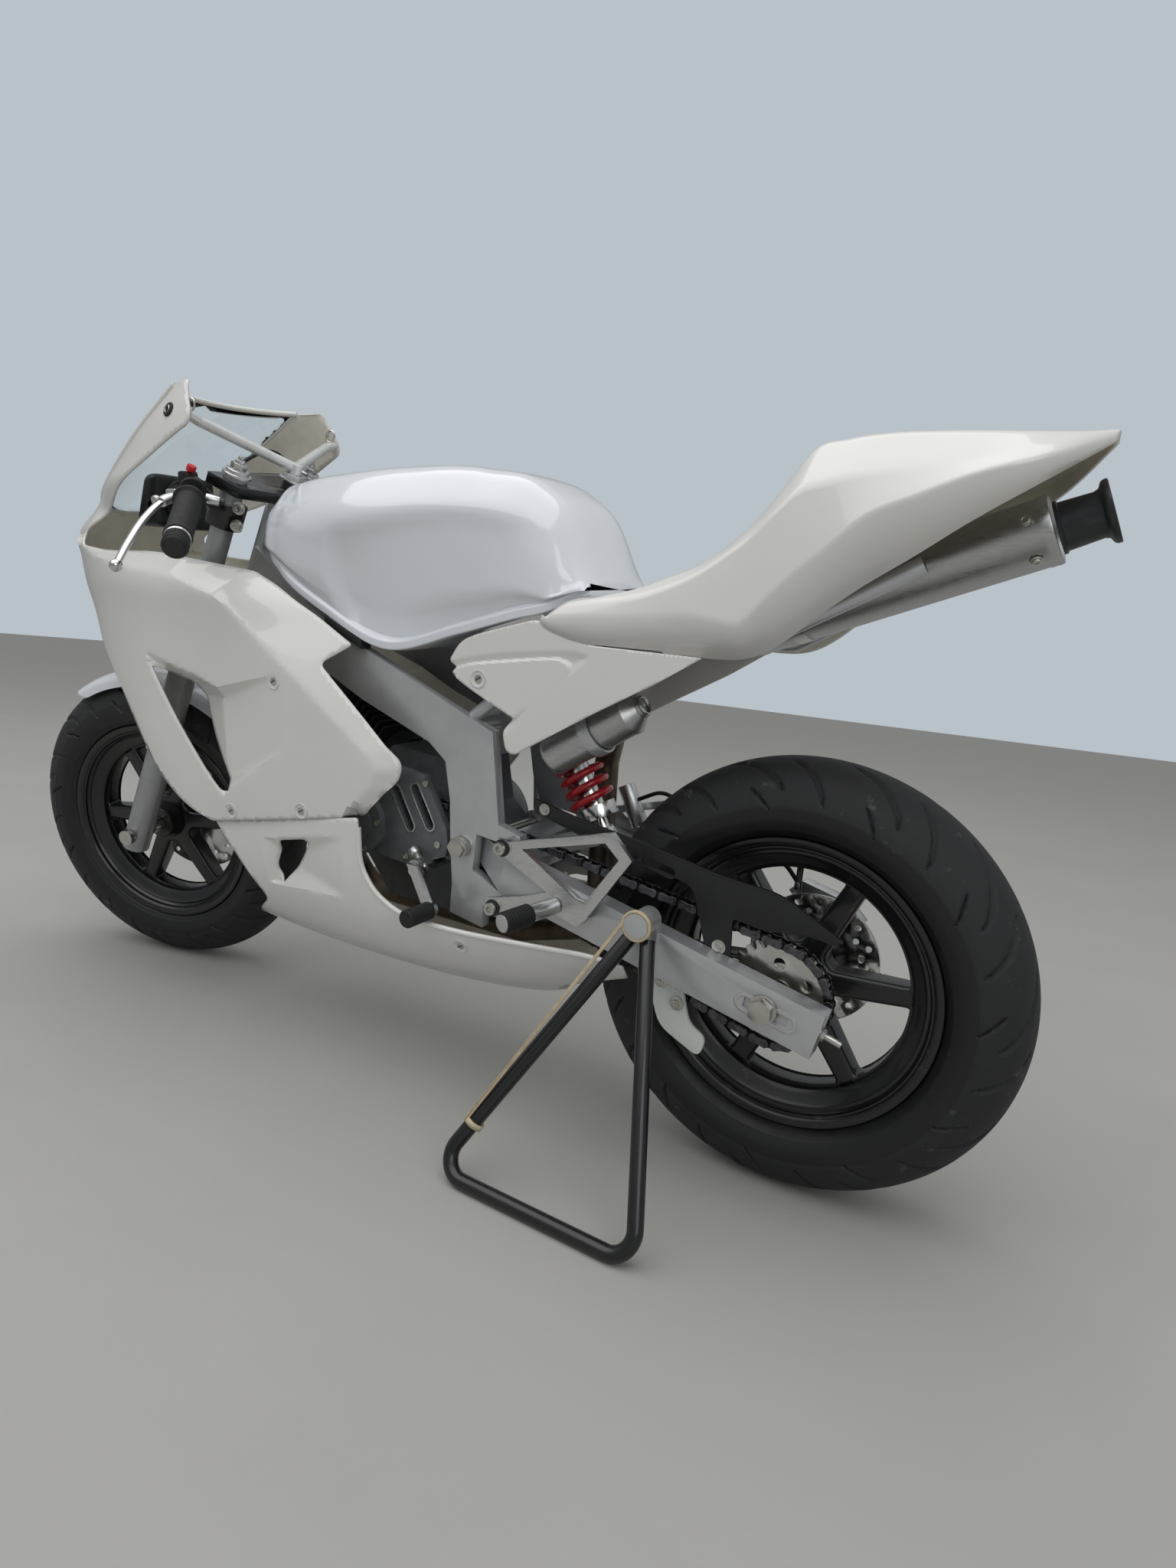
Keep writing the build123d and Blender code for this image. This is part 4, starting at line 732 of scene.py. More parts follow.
def nose_skin(flat):
    """Plan sections of the nose: a parabola out to the widest point, then a quarter ellipse to the tip."""
    w, z = flat[:, 0], flat[:, 1]
    back, wide, half, tip = nose_rows(z)
    turn = np.clip((w - wide) / (tip - wide), 0, 1) * math.pi / 2
    x = np.where(turn > 0, wide + (tip - wide) * np.sin(turn), w)
    y = np.where(turn > 0, half * np.cos(turn), half - (half - back) * ((wide - w) / (wide - NOSE_BACK)) ** 2)
    return np.stack([x, y, z], -1)


def fairing_skin(flat):
    """The nose, folded inwards above its ridge and dipped behind its side vent.

    The fold is slope * (s + sqrt(s^2 + r^2)) / 2 at a distance s above the ridge, with a soft limit. The dip
    is the least of four planes that rise from its top, its bottom, its rear end and the vent's front edge.
    """
    p = nose_skin(flat)
    s = -beyond(flat, unrolled(RIDGE))
    slope = 0.62 + 0.3 * step((flat[:, 0] - 640) / 160)
    fold = slope * (s + np.sqrt(s * s + FOLD_BEND ** 2)) / 2
    fold = FOLD_DEPTH - np.logaddexp(0, (FOLD_DEPTH - fold) / 3) * 3
    fade = (1 - step((flat[:, 0] - 1010) / 150)) * (1 - step((flat[:, 1] - 690) / 90))
    p[:, 1] -= fold * fade
    side = flat[:, 0] < 960
    top = np.where(side, beyond(flat, unrolled(POCKET_TOP)), -20)
    low = np.where(side, -beyond(flat, unrolled(POCKET_LOW)), -20)
    behind = beyond(flat, unrolled(VENT_FRONT))
    rise = (p[:, 0] - 648) * 0.1 + np.maximum(p[:, 0] - 772, 0) * 0.2
    p[:, 1] -= np.maximum(soft_low([top * 0.8, low * 0.8, rise, behind * 1.2], 0.8), 0)
    return p


def over(shape):
    """The same faces seen from their other side."""
    v, f = shape
    return v, mirrored((v, f))[1]


def pair(shape):
    """A left-hand skin with its outside outwards, and its mirror image."""
    left = over(shape)
    return [left, mirrored(left)]


def on_skin(skin_at, x, z, side=1):
    """Point and outward direction on a left or right skin y = f(x, z), by small differences."""
    p = skin_at(np.array([(x, z), (x + 1, z), (x, z + 1)], float))
    n = -unit(np.cross(p[1] - p[0], p[2] - p[0]))
    return p[0] * (1, side, 1), n * (1, side, 1)


def quarter_turn(at, way, size=8.0):
    """Quarter-turn fastener: a dished washer, a dark gap and a slotted button."""
    dish = lathe([(-1.5, size + 3), (0.9, size + 3), (1.4, size + 2), (0.9, size + 0.6), (-0.9, size * 0.8),
                  (-1.2, 0)], sides=32)
    button = lathe(drum(size * 0.66, -1.2, 1.0, 0.5), sides=24)
    # Painted shade: the button's slot is a thin black bar laid across it, not a cut
    painted_slot_shade = block((size * 1.1, 0.9, 1.3), (0, 1.1, 0), toward((0, 1, 0), (0.6, 0, 1)), 0.3)
    return [(moved(s, at, toward(way)), m) for s, m in ((dish, "nylon"), (button, "zinc"), (painted_slot_shade, "black"))]


def upper_fairing():
    """White upper fairing: half a panel filled between its edges in (w, z), laid on the nose and mirrored."""
    rim = apart(np.vstack([divide(unrolled(divide(rounded(UPPER, 5), 7)), 6), screen_line()[1:],
                           middle_line(CHIN, SCREEN_FOOT)[-2::-1]]))
    if np.linalg.norm(rim[0] - rim[-1]) < 0.5:
        rim = rim[:-1]
    vent = divide(unrolled(soften(SIDE_VENT, [8, 14, 9, 20, 20, 20, 5, 8, 20, 20, 20], 4, True)), 5, True)
    creases = [divide(unrolled(line), spacing)
               for line, spacing in ((RIDGE[1:-1], 7), (POCKET_TOP[2:], 6), (POCKET_LOW[2:], 6))]
    flat, tris = fill([rim, vent], 5.0, creases)
    shell("upper_fairing_shell", pair((fairing_skin(flat), tris)), "upper_fairing")
    parts = []
    for x, z in UPPER_FASTENERS:
        for side in (1, -1):
            parts += quarter_turn(*on_skin(fairing_skin, *unrolled([(x, z)])[0], side))
    for side in (1, -1):
        at, out = on_skin(fairing_skin, *unrolled([EAR_EYE])[0], side)
        for profile, look in (([(-1, 10), (1.4, 10), (2.4, 9), (2.4, 5.4), (0.6, 5.0), (0.6, 0)], "rubber"),
                              ([(1.0, 5.6), (2.9, 5.6), (3.3, 4.9), (2.9, 4.2), (1.0, 4.2)], "steel")):
            parts.append((moved(lathe(profile, sides=32), at, toward(out)), look))
        ring = np.array([(860 + x, side * 126, 866 + z) for x, z in circle(0, 0, 8.5, 28)])
        parts.append((tube(ring, 1.3, 8, closed=True), "steel"))
    piece("upper_fasteners", "chassis", parts)


def windscreen():
    """Clear bubble on the nose's skin between the fairing's edges, with a bright rolled rim."""
    edge = screen_line(0.4)
    low, high = SCREEN_FOOT + 0.4, SCREEN[0, 1]
    top = np.linspace(edge[0], middle_line(high, high, 1)[0], 24)
    rim = np.vstack([edge[:-1], middle_line(low, high, 30), top[1:-1][::-1]])
    flat, tris = fill([rim], 9.0)
    piece("screen_bubble", "chassis", [(s, "screen") for s in pair((nose_skin(flat), tris))],
          ["windscreen"], wall=2.5, loose=True)
    arc = nose_skin(top)
    whole = np.vstack([arc[:-1], (arc * (1, -1, 1))[::-1]])
    side = nose_skin(divide(np.vstack([edge[:-1], middle_line(low, low, 1)]), 5))
    seat = np.vstack([side[1:-1], (side * (1, -1, 1))[:0:-1]])
    parts = [(tube(whole - (0, 0, 2.6), 4.0, 12), "nylon"), (tube(seat, 3.8, 10), "gelcoat")]
    piece("screen_rim", "chassis", parts)


# Stations of the lower fairing: x, then (half width, height) from the top edge to the keel
BELLY = np.array([
    (165, 117, 262, 115, 252, 109, 240, 93, 226, 62, 212, 0, 203),
    (290, 134, 276, 131, 252, 120, 225, 98, 192, 62, 165, 0, 147),
    (400, 146, 302, 142, 262, 130, 222, 106, 182, 64, 149, 0, 124),
    (533, 149, 364, 146, 285, 135, 225, 110, 178, 66, 143, 0, 115),
    (680, 149, 345, 147, 285, 137, 230, 112, 182, 68, 145, 0, 117),
    (834, 147, 330, 145, 280, 135, 235, 112, 190, 70, 156, 0, 130),
], float)
# Side outline from the keel's front, over the wheel notch, the seam and the rear edge, with roundings
LOWER = np.array([
    (834, 131, 0), (782, 165, 20), (720, 208, 16), (760, 262, 20), (802, 310.1, 5), (768, 316.7, 3),
    (533, 361.7, 6), (531, 300, 18), (510, 268, 14), (480, 250, 16), (445, 243, 14), (367, 244, 20),
    (209, 253, 20), (166, 248, 0),
], float)
LOW_VENT = np.array([(684, 289), (676, 305), (630, 315), (625, 310), (680, 240), (692, 262)], float)
BELLY_GIRTH = 300.0
TAIL_NOTCH = np.array([(300, 0), (300, 40), (262, 84), (166, 97)], float)
LOW_FOLD = np.array([(676, 240), (598, 245), (539, 248), (480, 250)], float)
LOW_TOP = np.array([(680, 306), (630, 318), (560, 332)], float)


def belly_rings(x):
    """Softened half sections at stations x, keel first, with their share of the girth at each point."""
    rows = smooth(x, BELLY[:, 0], BELLY[:, 1:]).reshape(-1, 6, 2)[:, ::-1]
    rings = soften(rows, [0, 22, 26, 26, 26, 0], 6)
    run = travelled(rings)
    return rings, run / run[:, -1:]


def row_pick(table, values):
    """Index and fraction at which each row of a rising table reaches its value."""
    k = np.clip((table < values[:, None]).sum(1) - 1, 0, table.shape[1] - 2)
    n = np.arange(len(values))
    t = (values - table[n, k]) / np.maximum(table[n, k + 1] - table[n, k], 1e-9)
    return n, k, np.clip(t, 0, 1)


def belly_skin(flat):
    """Trough: station x and share of the girth h from the keel up, dipped behind the low vent."""
    rings, share = belly_rings(flat[:, 0])
    n, k, t = row_pick(share, flat[:, 1] / BELLY_GIRTH)
    yz = rings[n, k] + (rings[n, k + 1] - rings[n, k]) * t[:, None]
    p = np.stack([flat[:, 0], yz[:, 0], yz[:, 1]], -1)
    side = p[:, [0, 2]]
    top, low = beyond(side, LOW_TOP), -beyond(side, LOW_FOLD)
    dip = soft_low([top * 0.6, low * 0.6, (side[:, 0] - 560) * 0.16, (705 - side[:, 0]) * 0.6], 1.0)
    p[:, 1] -= np.maximum(dip, 0)
    return p


def belly_flat(points, column):
    """Side-view (x, z) or plan (x, y) points as (x, h); column says which of y and z is given."""
    points = np.asarray(points, float)
    rings, share = belly_rings(points[:, 0])
    n, k, t = row_pick(rings[:, :, column], points[:, 1])
    h = share[n, k] + (share[n, k + 1] - share[n, k]) * t
    return np.stack([points[:, 0], h * BELLY_GIRTH], -1)


def lower_fairing():
    """White trough under the engine: half a panel filled in (x, girth), laid on its sections and mirrored."""
    edge = belly_flat(divide(rounded(LOWER, 5), 7), 1)
    notch = belly_flat(divide(soften(TAIL_NOTCH, [0, 16, 16, 0], 4), 7), 0)[::-1]
    edge[0, 1] = notch[-1, 1] = 0.0
    keel = divide(np.array([notch[-1], edge[0]]), 9)[1:-1]
    rim = apart(np.vstack([edge, notch, keel]))
    vent = belly_flat(divide(soften(LOW_VENT, [8, 8, 6, 5, 8, 8], 4, True), 5, True), 1)
    folds = [belly_flat(divide(LOW_FOLD[1:3], 7), 1)]
    flat, tris = fill([rim, vent], 5.0, folds)
    shell("lower_fairing_shell", pair((belly_skin(flat), tris)), "lower_fairing")
    lip = belly_skin(belly_flat(divide(rounded(LOWER[6:], 5), 7)[2:-1], 1))
    parts = []
    for side in (1, -1):
        parts.append((tube((lip - (0, 1.8, 0)) * (1, side, 1), 3.4, 10), "gelcoat"))
    piece("lower_fairing_lip", "chassis", parts)
    parts = []
    for side in (1, -1):
        parts += quarter_turn(*on_skin(belly_skin, *belly_flat([(381, 224)], 1)[0], side), 7.0)
    piece("lower_fasteners", "chassis", parts)


# Stations of the tank: x, underside, low half width, waist height and half width,
# shoulder height and half width, crown half width, crown height
TANK = np.array([
    (262, 652, 70, 656, 84, 661, 78, 40, 664), (296, 632, 92, 646, 104, 690, 96, 60, 734),
    (340, 620, 98, 650, 114, 730, 106, 66, 772), (418, 597, 100, 640, 118, 736, 118, 74, 790),
    (531, 570, 104, 625, 112, 730, 124, 80, 792), (626, 604, 104, 650, 114, 728, 122, 78, 786),
    (720, 655, 98, 676, 110, 724, 108, 66, 776), (758, 682, 78, 694, 92, 730, 88, 52, 768),
    (774, 700, 52, 708, 62, 740, 60, 34, 756),
], float)
RECESS_TOP = np.array([
    (262, 676), (271, 690), (287, 713), (328, 740), (412, 746), (479, 742), (550, 732), (601, 722),
    (628, 712),
], float)
KNEE_DEPTH = 10.0
TANK_CAP = (556, 0, 794)


def tank():
    """Steel tank: softened sections smoothed along x, a knee recess, a rolled lip and rounded ends."""
    rear, ahead = TANK[[0, -1], 0]
    spread = 0.5 - 0.5 * np.cos(np.linspace(0.12, 3.02, 90))
    x = np.concatenate([[rear], rear + (ahead - rear) * spread, [ahead]])
    zb, wl, zw, ww, zs, ws, wc, zc = smooth(x, TANK[:, 0], TANK[:, 1:]).T
    lip = np.minimum(5, (x - rear) * 0.2)
    half = [(wl - 5, zb), (wl + lip, zb + 1), (wl + lip, zb + 11), (wl + 1, zb + 14), (ww, zw), (ws, zs),
            (wc, zc), (wc * 0.4, zc + 3)]
    half = np.stack([np.stack(np.broadcast_arrays(*p), -1) for p in half], 1)
    whole = np.concatenate([half, half[:, ::-1] * (-1, 1)], 1)
    reach = [2, 2, 2, 4, 16, 30, 26, 30]
    rings = soften(whole, reach + reach[::-1], 6, True)
    y, z = rings[..., 0], rings[..., 1]
    stations = np.broadcast_to(x[:, None], y.shape)
    top = np.interp(stations, RECESS_TOP[:, 0], RECESS_TOP[:, 1])
    front = 633 - 0.012 * np.maximum(672 - z, 0) ** 1.9
    share = (step((front - stations) / 30) * step((top - z) / 30) * step((z - zb[:, None] - 13) / 6)
             * (0.35 + 0.65 * step((stations - 275) / 170)))
    y = y - np.sign(y) * KNEE_DEPTH * share * step(np.abs(y) / 60)
    grid = np.stack([stations, y, z], -1)
    middle = grid.mean(1, keepdims=True)
    a = np.linspace(0.3, math.pi / 2, 5)[:, None, None]
    bulge = np.concatenate([np.sin(a) * 9, a * 0, a * 0], 2)
    nose = middle[-1:] + (grid[-1:] - middle[-1:]) * np.cos(a) + bulge
    tail = np.repeat(middle[:1], grid.shape[1], 1)
    skin = net(np.concatenate([tail, grid, nose]), False, True)
    piece("tank_shell", "chassis", [(skin, "lacquer")], ["tank"], sharp=28)
    parts = [(lathe(drum(27, 0, 3.5, 1.2), TANK_CAP, (0, 0, 1), 48), "aluminium"),
             (lathe(drum(19, 3.0, 5.0, 0.8), TANK_CAP, (0, 0, 1), 40), "black")]
    piece("tank_cap", "chassis", parts)
    strip = [(566, 568), (628, 594), (631, 607), (608, 597.5), (566, 580)]
    parts = [(plate([strip], 92, 111, 1.5), "rubber"), (plate([strip], -111, -92, 1.5), "rubber")]
    piece("tank_rubbers", "chassis", parts)


# Stations of the seat cowl: x, then (half width, height) of top, shoulder, crease and low edge
COWL = np.array([
    (-231, 2, 827, 6, 824, 8, 820, 7, 816), (-198, 34, 822, 54, 811, 64, 801, 60, 786),
    (-125, 56, 821, 86, 791, 104, 776, 92, 734), (-88, 60, 821, 94, 785, 112, 759, 95, 707),
    (-43, 62, 820, 99, 779, 115, 738, 97, 676), (-5, 63, 815, 102, 772, 116, 704, 98, 646),
    (25, 64, 806, 103, 762, 117, 678, 99, 620), (45, 66, 779, 104, 743, 117, 657, 99, 607),
    (66, 72, 748, 105, 721, 117, 636, 100, 600), (90, 78, 720, 106, 702, 116, 637, 101, 598),
    (120, 84, 696, 107, 682, 115, 640, 103, 598.5), (165, 86, 676, 106, 662, 112, 636, 106, 599),
    (225, 85, 655, 102, 648, 109, 630, 108, 601), (256, 84, 649, 100, 643, 108, 627, 108, 603),
], float)


def seat_cowl():
    """Seat and tail: sections with rounded creases, smoothed along x and drawn forward at their low edge."""
    x = np.concatenate([np.linspace(-231, -180, 18)[:-1], np.linspace(-180, 256, 90)])
    rows = smooth(x, COWL[:, 0], COWL[:, 1:]).reshape(-1, 4, 2)[:, ::-1]
    whole = np.concatenate([rows, rows[:, ::-1] * (-1, 1)], 1)
    reach = [0, 5, 7, 9]
    rings = soften(whole, reach + reach[::-1], 5)
    y, z = rings[..., 0], rings[..., 1]
    drawn = 46 * step((x[:, None] - 150) / 106) * np.clip((664 - z) / 44, 0, 1)
    stations = np.broadcast_to(x[:, None], y.shape) + drawn
    low = np.interp(stations, (220, 241, 265, 294, 307, 330), (601, 600.5, 604.5, 613.5, 624.5, 632))
    z = np.where((x[:, None] > 150) & (z < low + 20), np.maximum(z, low + (z - rings[:, :1, 1]) * 0.5), z)
    shell("seat_cowl_shell", [over(net(np.stack([stations, y, z], -1)))], "seat_cowl", sharp=26)


COVER = np.array([
    (427, 566, 8), (412, 590, 14), (390, 600, 14), (307, 623, 10), (262, 608, 20), (240, 600, 14),
    (106, 598, 3), (156, 566, 6), (231, 524, 20), (331, 465, 9), (342, 469, 8), (347, 494, 10),
    (333, 508, 5), (402, 539, 12), (423, 551, 8), (417, 559, 3),
], float)
COVER_BOSS = np.array([
    (423, 555), (398, 564), (304, 578), (274, 581), (261, 574), (263, 565), (332, 509), (410, 541),
], float)
COVER_GROOVE = np.array([
    (446, 566), (427, 567), (368, 580), (305, 588), (255, 593), (235, 589), (239, 581), (311, 523),
    (326, 503), (340, 488), (440, 530),
], float)

COVER_Y = 109.0


def cover_skin(flat):
    """Side cover: its outer face, bowed across, with a groove between a triangular boss and its surround."""
    y = COVER_Y - ((flat[:, 1] - 545) / 90) ** 2 * 3 - np.maximum(180 - flat[:, 0], 0) * 0.045
    boss = soften(COVER_BOSS, [3, 20, 20, 8, 8, 14, 4, 20], 4, True)
    ring = soften(COVER_GROOVE, [3, 6, 20, 20, 8, 8, 14, 6, 4, 4, 3], 4, True)
    from_boss = -beyond(flat, np.vstack([boss, boss[:1]])) * np.sign(area(boss))
    from_ring = beyond(flat, np.vstack([ring, ring[:1]])) * np.sign(area(ring))
    groove = soft_low([np.maximum(from_boss, 0) * 1.1, np.maximum(from_ring, 0) * 0.42, 0 * y + 5.5], 0.9)
    return np.stack([flat[:, 0], y - np.maximum(groove + 0.3, 0), flat[:, 1]], -1)


def side_covers():
    """White panels under the seat, each a filled outline with a wall."""
    rim = divide(rounded(COVER, 5, True), 5, True)
    flat, tris = fill([rim], 2.6)
    halves = pair((cover_skin(flat), tris))
    for name, side, half in zip(("side_cover_left", "side_cover_right"), (1, -1), halves):
        shell(name + "_shell", [half], name, None)
        fastener = quarter_turn(*on_skin(cover_skin, 383, 549, side))
        piece(name + "_fastener", "chassis", fastener)


# Half profiles of the tyres from crown to bead: distance across, radius
REAR_TYRE = np.array([
    (0, 248.5), (15, 247), (30, 242), (45, 231), (54, 218), (59.5, 204), (59.5, 193), (56, 182), (49, 172),
    (41.5, 167), (36.5, 165.5),
], float)
FRONT_TYRE = np.array([
    (0, 242.5), (12, 241), (25, 236), (36, 226), (44, 213), (49.5, 199), (50, 188), (47, 178), (43, 171),
    (40, 167), (35.5, 165.5),
], float)
# One group of grooves as lines of (share of the group's length, arc from the crown in mm, half width in mm)
GROOVES = (
    ((0.02, 9, 1.5), (0.14, 17, 3.2), (0.34, 33, 3.6), (0.50, 52, 2.8), (0.56, 64, 1.2)),
    ((0.58, 20, 1.2), (0.68, 30, 3.0), (0.80, 46, 3.2), (0.90, 66, 2.3), (0.93, 76, 1.0)),
    ((0.26, 60, 1.2), (0.34, 70, 2.4), (0.43, 84, 1.2)),
)
# Radii of the fine rings on the walls, and of the bead's seat
WALL_RINGS = (202.0, 187.0, 175.0)
BEAD = 163.0


def groove_share(along, arc, length):
    """How deep the tread is cut, 0 to 1: distance to each groove's line against its tapering half width."""
    cut = np.zeros(np.broadcast_shapes(along.shape, arc.shape))
    for shift, side in ((0.0, 1), (0.5, -1)):
        for line in GROOVES:
            for (s0, v0, w0), (s1, v1, w1) in zip(line[:-1], line[1:]):
                a, b = np.array((s0 * length, v0)), np.array((s1 * length, v1))
                run = b - a
                px = np.mod(along + shift * length - a[0] + length / 2, length) - length / 2
                py = side * arc - a[1]
                t = np.clip((px * run[0] + py * run[1]) / (run @ run), 0, 1)
                gap = np.hypot(px - t * run[0], py - t * run[1])
                cut = np.maximum(cut, step((w0 + (w1 - w0) * t - gap) / 1.3 + 0.5))
    return cut


def tyre(name, body, centre, profile, tread):
    """Tyre: its profile turned round the axle, with grooves across its tread and fine rings on its walls."""
    sizes = bpy.context.scene.bike_rubber
    whole = np.vstack([profile[:0:-1] * (-1, 1), profile])
    arc = travelled(whole)
    arc -= arc[len(profile) - 1]
    s = np.linspace(arc[0], arc[-1], 111)
    yr = smooth(s, arc, whole)
    out = unit(np.gradient(yr, axis=0))[:, ::-1] * (-1, 1)
    columns = 660
    angle = np.linspace(0, 2 * math.pi, columns, endpoint=False)
    length = 2 * math.pi * profile[0, 1] / sizes.groove_count
    cut = groove_share(angle[None, :] * profile[0, 1], s[:, None], length) * (np.abs(s) < tread + 8)[:, None]
    rings = sum(np.exp(-((yr[:, 1] - r) / 0.9) ** 2) for r in WALL_RINGS) * 0.7
    depth = cut * sizes.groove_depth / MM - rings[:, None]
    y = yr[:, :1] - out[:, :1] * depth
    r = yr[:, 1:] - out[:, 1:] * depth
    grid = np.stack([centre[0] + r * np.cos(angle), y, centre[1] + r * np.sin(angle)], -1)
    low, high = np.searchsorted(s, (-tread, tread))
    parts = [(net(grid[low:high + 1], False, True), "tread"), (net(grid[:low + 1], False, True), "sidewall"),
             (net(grid[high:], False, True), "sidewall")]
    bead = np.vstack([whole[0], (-whole[-1, 0], BEAD), (whole[-1, 0], BEAD), whole[-1]])
    parts.append((lathe(bead, (centre[0], 0, centre[1]), sides=columns), "sidewall"))
    piece(name + "_rubber", body, parts, [name], sharp=50)


def tyres():
    """Both tyres."""
    tyre("rear_tyre", "rear_wheel", REAR_AXLE, REAR_TYRE, 84.0)
    tyre("front_tyre", "front_wheel", FRONT_AXLE, FRONT_TYRE, 74.0)


# Windows between the spokes: their radii, half a spoke's width at the hub and its half angle at the rim
WINDOW = (40.0, 127.5)
SPOKE_HALF = 14.4
SPOKE_ANGLE = 0.094


def wheel(name, body, centre, flange, spoke_start, hub_left, hub_right):
    """Cast wheel: a stepped barrel, six rounded spokes round a hub, and a valve."""
    half = [(19, 130), (24, 136), (27, 143), (30, 146), (flange - 12, 149), (flange - 8, 153),
            (flange - 3, 155), (flange - 1, 158), (flange, 161), (flange, 164.5), (flange - 1, 165.5),
            (flange - 3.6, 165.5), (flange - 4.6, 163.5), (flange - 5, 152.4), (26, 152), (19, 141)]
    barrel = half + [(-y, r) for y, r in reversed(half)]
    at = (centre[0], 0.0, centre[1])
    shapes = [lathe(barrel, at, sides=144, closed=True)]
    windows = []
    for k in range(6):
        a = math.radians(spoke_start + 60 * k)
        b = a + math.radians(60)
        arc = circle(0, 0, WINDOW[1], 9, a + SPOKE_ANGLE, math.radians(60) - 2 * SPOKE_ANGLE)
        left, right = (circle(0, 0, WINDOW[0], 1, edge) + circle(0, 0, SPOKE_HALF, 1, across)
                       for edge, across in ((a, a + math.pi / 2), (b, b - math.pi / 2)))
        reach = [9, 13] + [0] * 7 + [13, 9]
        windows.append(soften(np.vstack([left, arc, right]), reach, 5, True) + centre)

    def taper(v):
        """The plate's depth falls from the hub to the barrel."""
        r = np.hypot(v[:, 0] - centre[0], v[:, 2] - centre[1])
        return v * np.stack([r * 0 + 1, 1.1 - r * 0.0021, r * 0 + 1], -1)

    shapes.append(plate([circle(*centre, 133, 144)] + windows, -17, 17, 6.5, 5, warp=taper))
    left = [(17, 31), (22, 30), (26, 26.5), (hub_left - 2, 25.5), (hub_left, 24), (hub_left, 9), (17, 9)]
    right = [(-17, 31), (-24, 30), (-28, 27), (2 - hub_right, 26), (-hub_right, 24), (-hub_right, 9),
             (-17, 9)]
    shapes += [lathe(left, at, sides=72), lathe(right, at, sides=72)]
    parts = [(s, "wheel") for s in shapes]
    a = math.radians(spoke_start + 30)
    root = np.array((centre[0] + 131 * math.cos(a), 4.0, centre[1] + 131 * math.sin(a)))
    inward = np.array((-math.cos(a), 0.35, -math.sin(a)))
    parts.append((bar(root, root + inward * 22, 3.6), "rubber"))
    parts.append((bar(root + inward * 22, root + inward * 30, 4.2), "black"))
    piece(name + "_casting", body, parts, [name], sharp=38)


def rims():
    """Both cast wheels."""
    wheel("rear_rim", "rear_wheel", REAR_AXLE, 42.0, 56.0, 66.0, 56.0)
    wheel("front_rim", "front_wheel", FRONT_AXLE, 41.0, 298.0, 40.0, 50.0)


def copies(shape, origins, angles):
    """One shape many times over, each turned about the y axis by an angle and shifted."""
    v, f = shape
    c, s = np.cos(angles)[:, None], np.sin(angles)[:, None]
    x = v[None, :, 0] * c - v[None, :, 2] * s
    z = v[None, :, 0] * s + v[None, :, 2] * c
    placed = np.stack([x, np.broadcast_to(v[None, :, 1], x.shape), z], -1) + np.asarray(origins)[:, None]
    starts = (np.arange(len(origins)) * len(v))[:, None, None]
    return placed.reshape(-1, 3), np.where(f[None] >= 0, f[None] + starts, -1).reshape(-1, 4)


def chain_pins():
    """Side-view places of the chain's pins: two arcs and two straight runs, divided evenly."""
    rear = CHAIN_PITCH / 2 / math.sin(math.pi / REAR_TEETH)
    drive = CHAIN_PITCH / 2 / math.sin(math.pi / DRIVE_TEETH)
    run = np.array(DRIVE) - REAR_AXLE
    base = math.atan2(run[1], run[0])
    opening = math.acos((rear - drive) / np.hypot(*run))
    back = circle(*REAR_AXLE, rear, 60, base + opening, 2 * (math.pi - opening))
    front = circle(*DRIVE, drive, 30, base - opening, 2 * opening)
    loop = np.vstack([back, front, back[:1]])
    at = travelled(loop)
    count = 2 * round(at[-1] / CHAIN_PITCH / 2)
    places = np.linspace(0, at[-1], count, endpoint=False)
    return np.stack([np.interp(places, at, loop[:, 0]), np.interp(places, at, loop[:, 1])], -1)


def chain():
    """Roller chain: pins and rollers, with inner and outer plates in turn."""
    pins = chain_pins()
    after = np.roll(pins, -1, 0)
    middle = np.insert((pins + after) / 2, 1, CHAIN_Y, axis=1)
    run = after - pins
    angles = np.arctan2(run[:, 1], run[:, 0])
    half = CHAIN_PITCH / 2
    outline = np.vstack([circle(half, 0, 5.4, 7, -1.2, 2.4), [(0, 4.0)],
                         circle(-half, 0, 5.4, 7, math.pi - 1.2, 2.4), [(0, -4.0)]])
    outer = joined([plate([outline], 5.7, 7.0, 0.3, 1), plate([outline], -7.0, -5.7, 0.3, 1)])
    inner = joined([plate([outline], 4.2, 5.5, 0.3, 1), plate([outline], -5.5, -4.2, 0.3, 1)])
    pin = joined([lathe(drum(4.0, -4.1, 4.1, 0.3), sides=12), lathe(drum(1.9, -7.25, 7.25, 0.4), sides=10)])
    at = np.insert(pins, 1, CHAIN_Y, axis=1)
    parts = [(copies(outer, middle[::2], angles[::2]), "chain"),
             (copies(inner, middle[1::2], angles[1::2]), "chain_dark"),
             (copies(pin, at, angles), "chain")]
    piece("drive_chain", "chassis", parts, ["chain"], sharp=40)


# Guard: side outline with the reach of each rounding, and its slots as centres and half widths
GUARD = np.array([
    (309, 414, 3), (245, 400, 20), (146, 386, 20), (72, 371, 20), (3, 364, 14), (-30, 348, 12),
    (-65, 330, 3), (-60, 323, 4), (-30, 327, 8), (16, 321, 10), (52, 326, 5), (50, 272, 8), (78, 277, 8),
    (92, 325, 8), (100, 352, 20), (226, 376, 20), (309, 398, 3),
], float)
GUARD_FACE = 89.4
GUIDE_FACE = 89.6
GUARD_SLOTS = ((206, 381, 172, 372.5, 5.5), (158, 369, 128, 361, 5.5))
GUIDE = np.array([
    (150, 262, 3), (146, 236, 12), (128, 181, 16), (76, 157, 10), (69, 182, 10), (91, 194, 10),
    (99, 222, 12), (104, 250, 3),
], float)


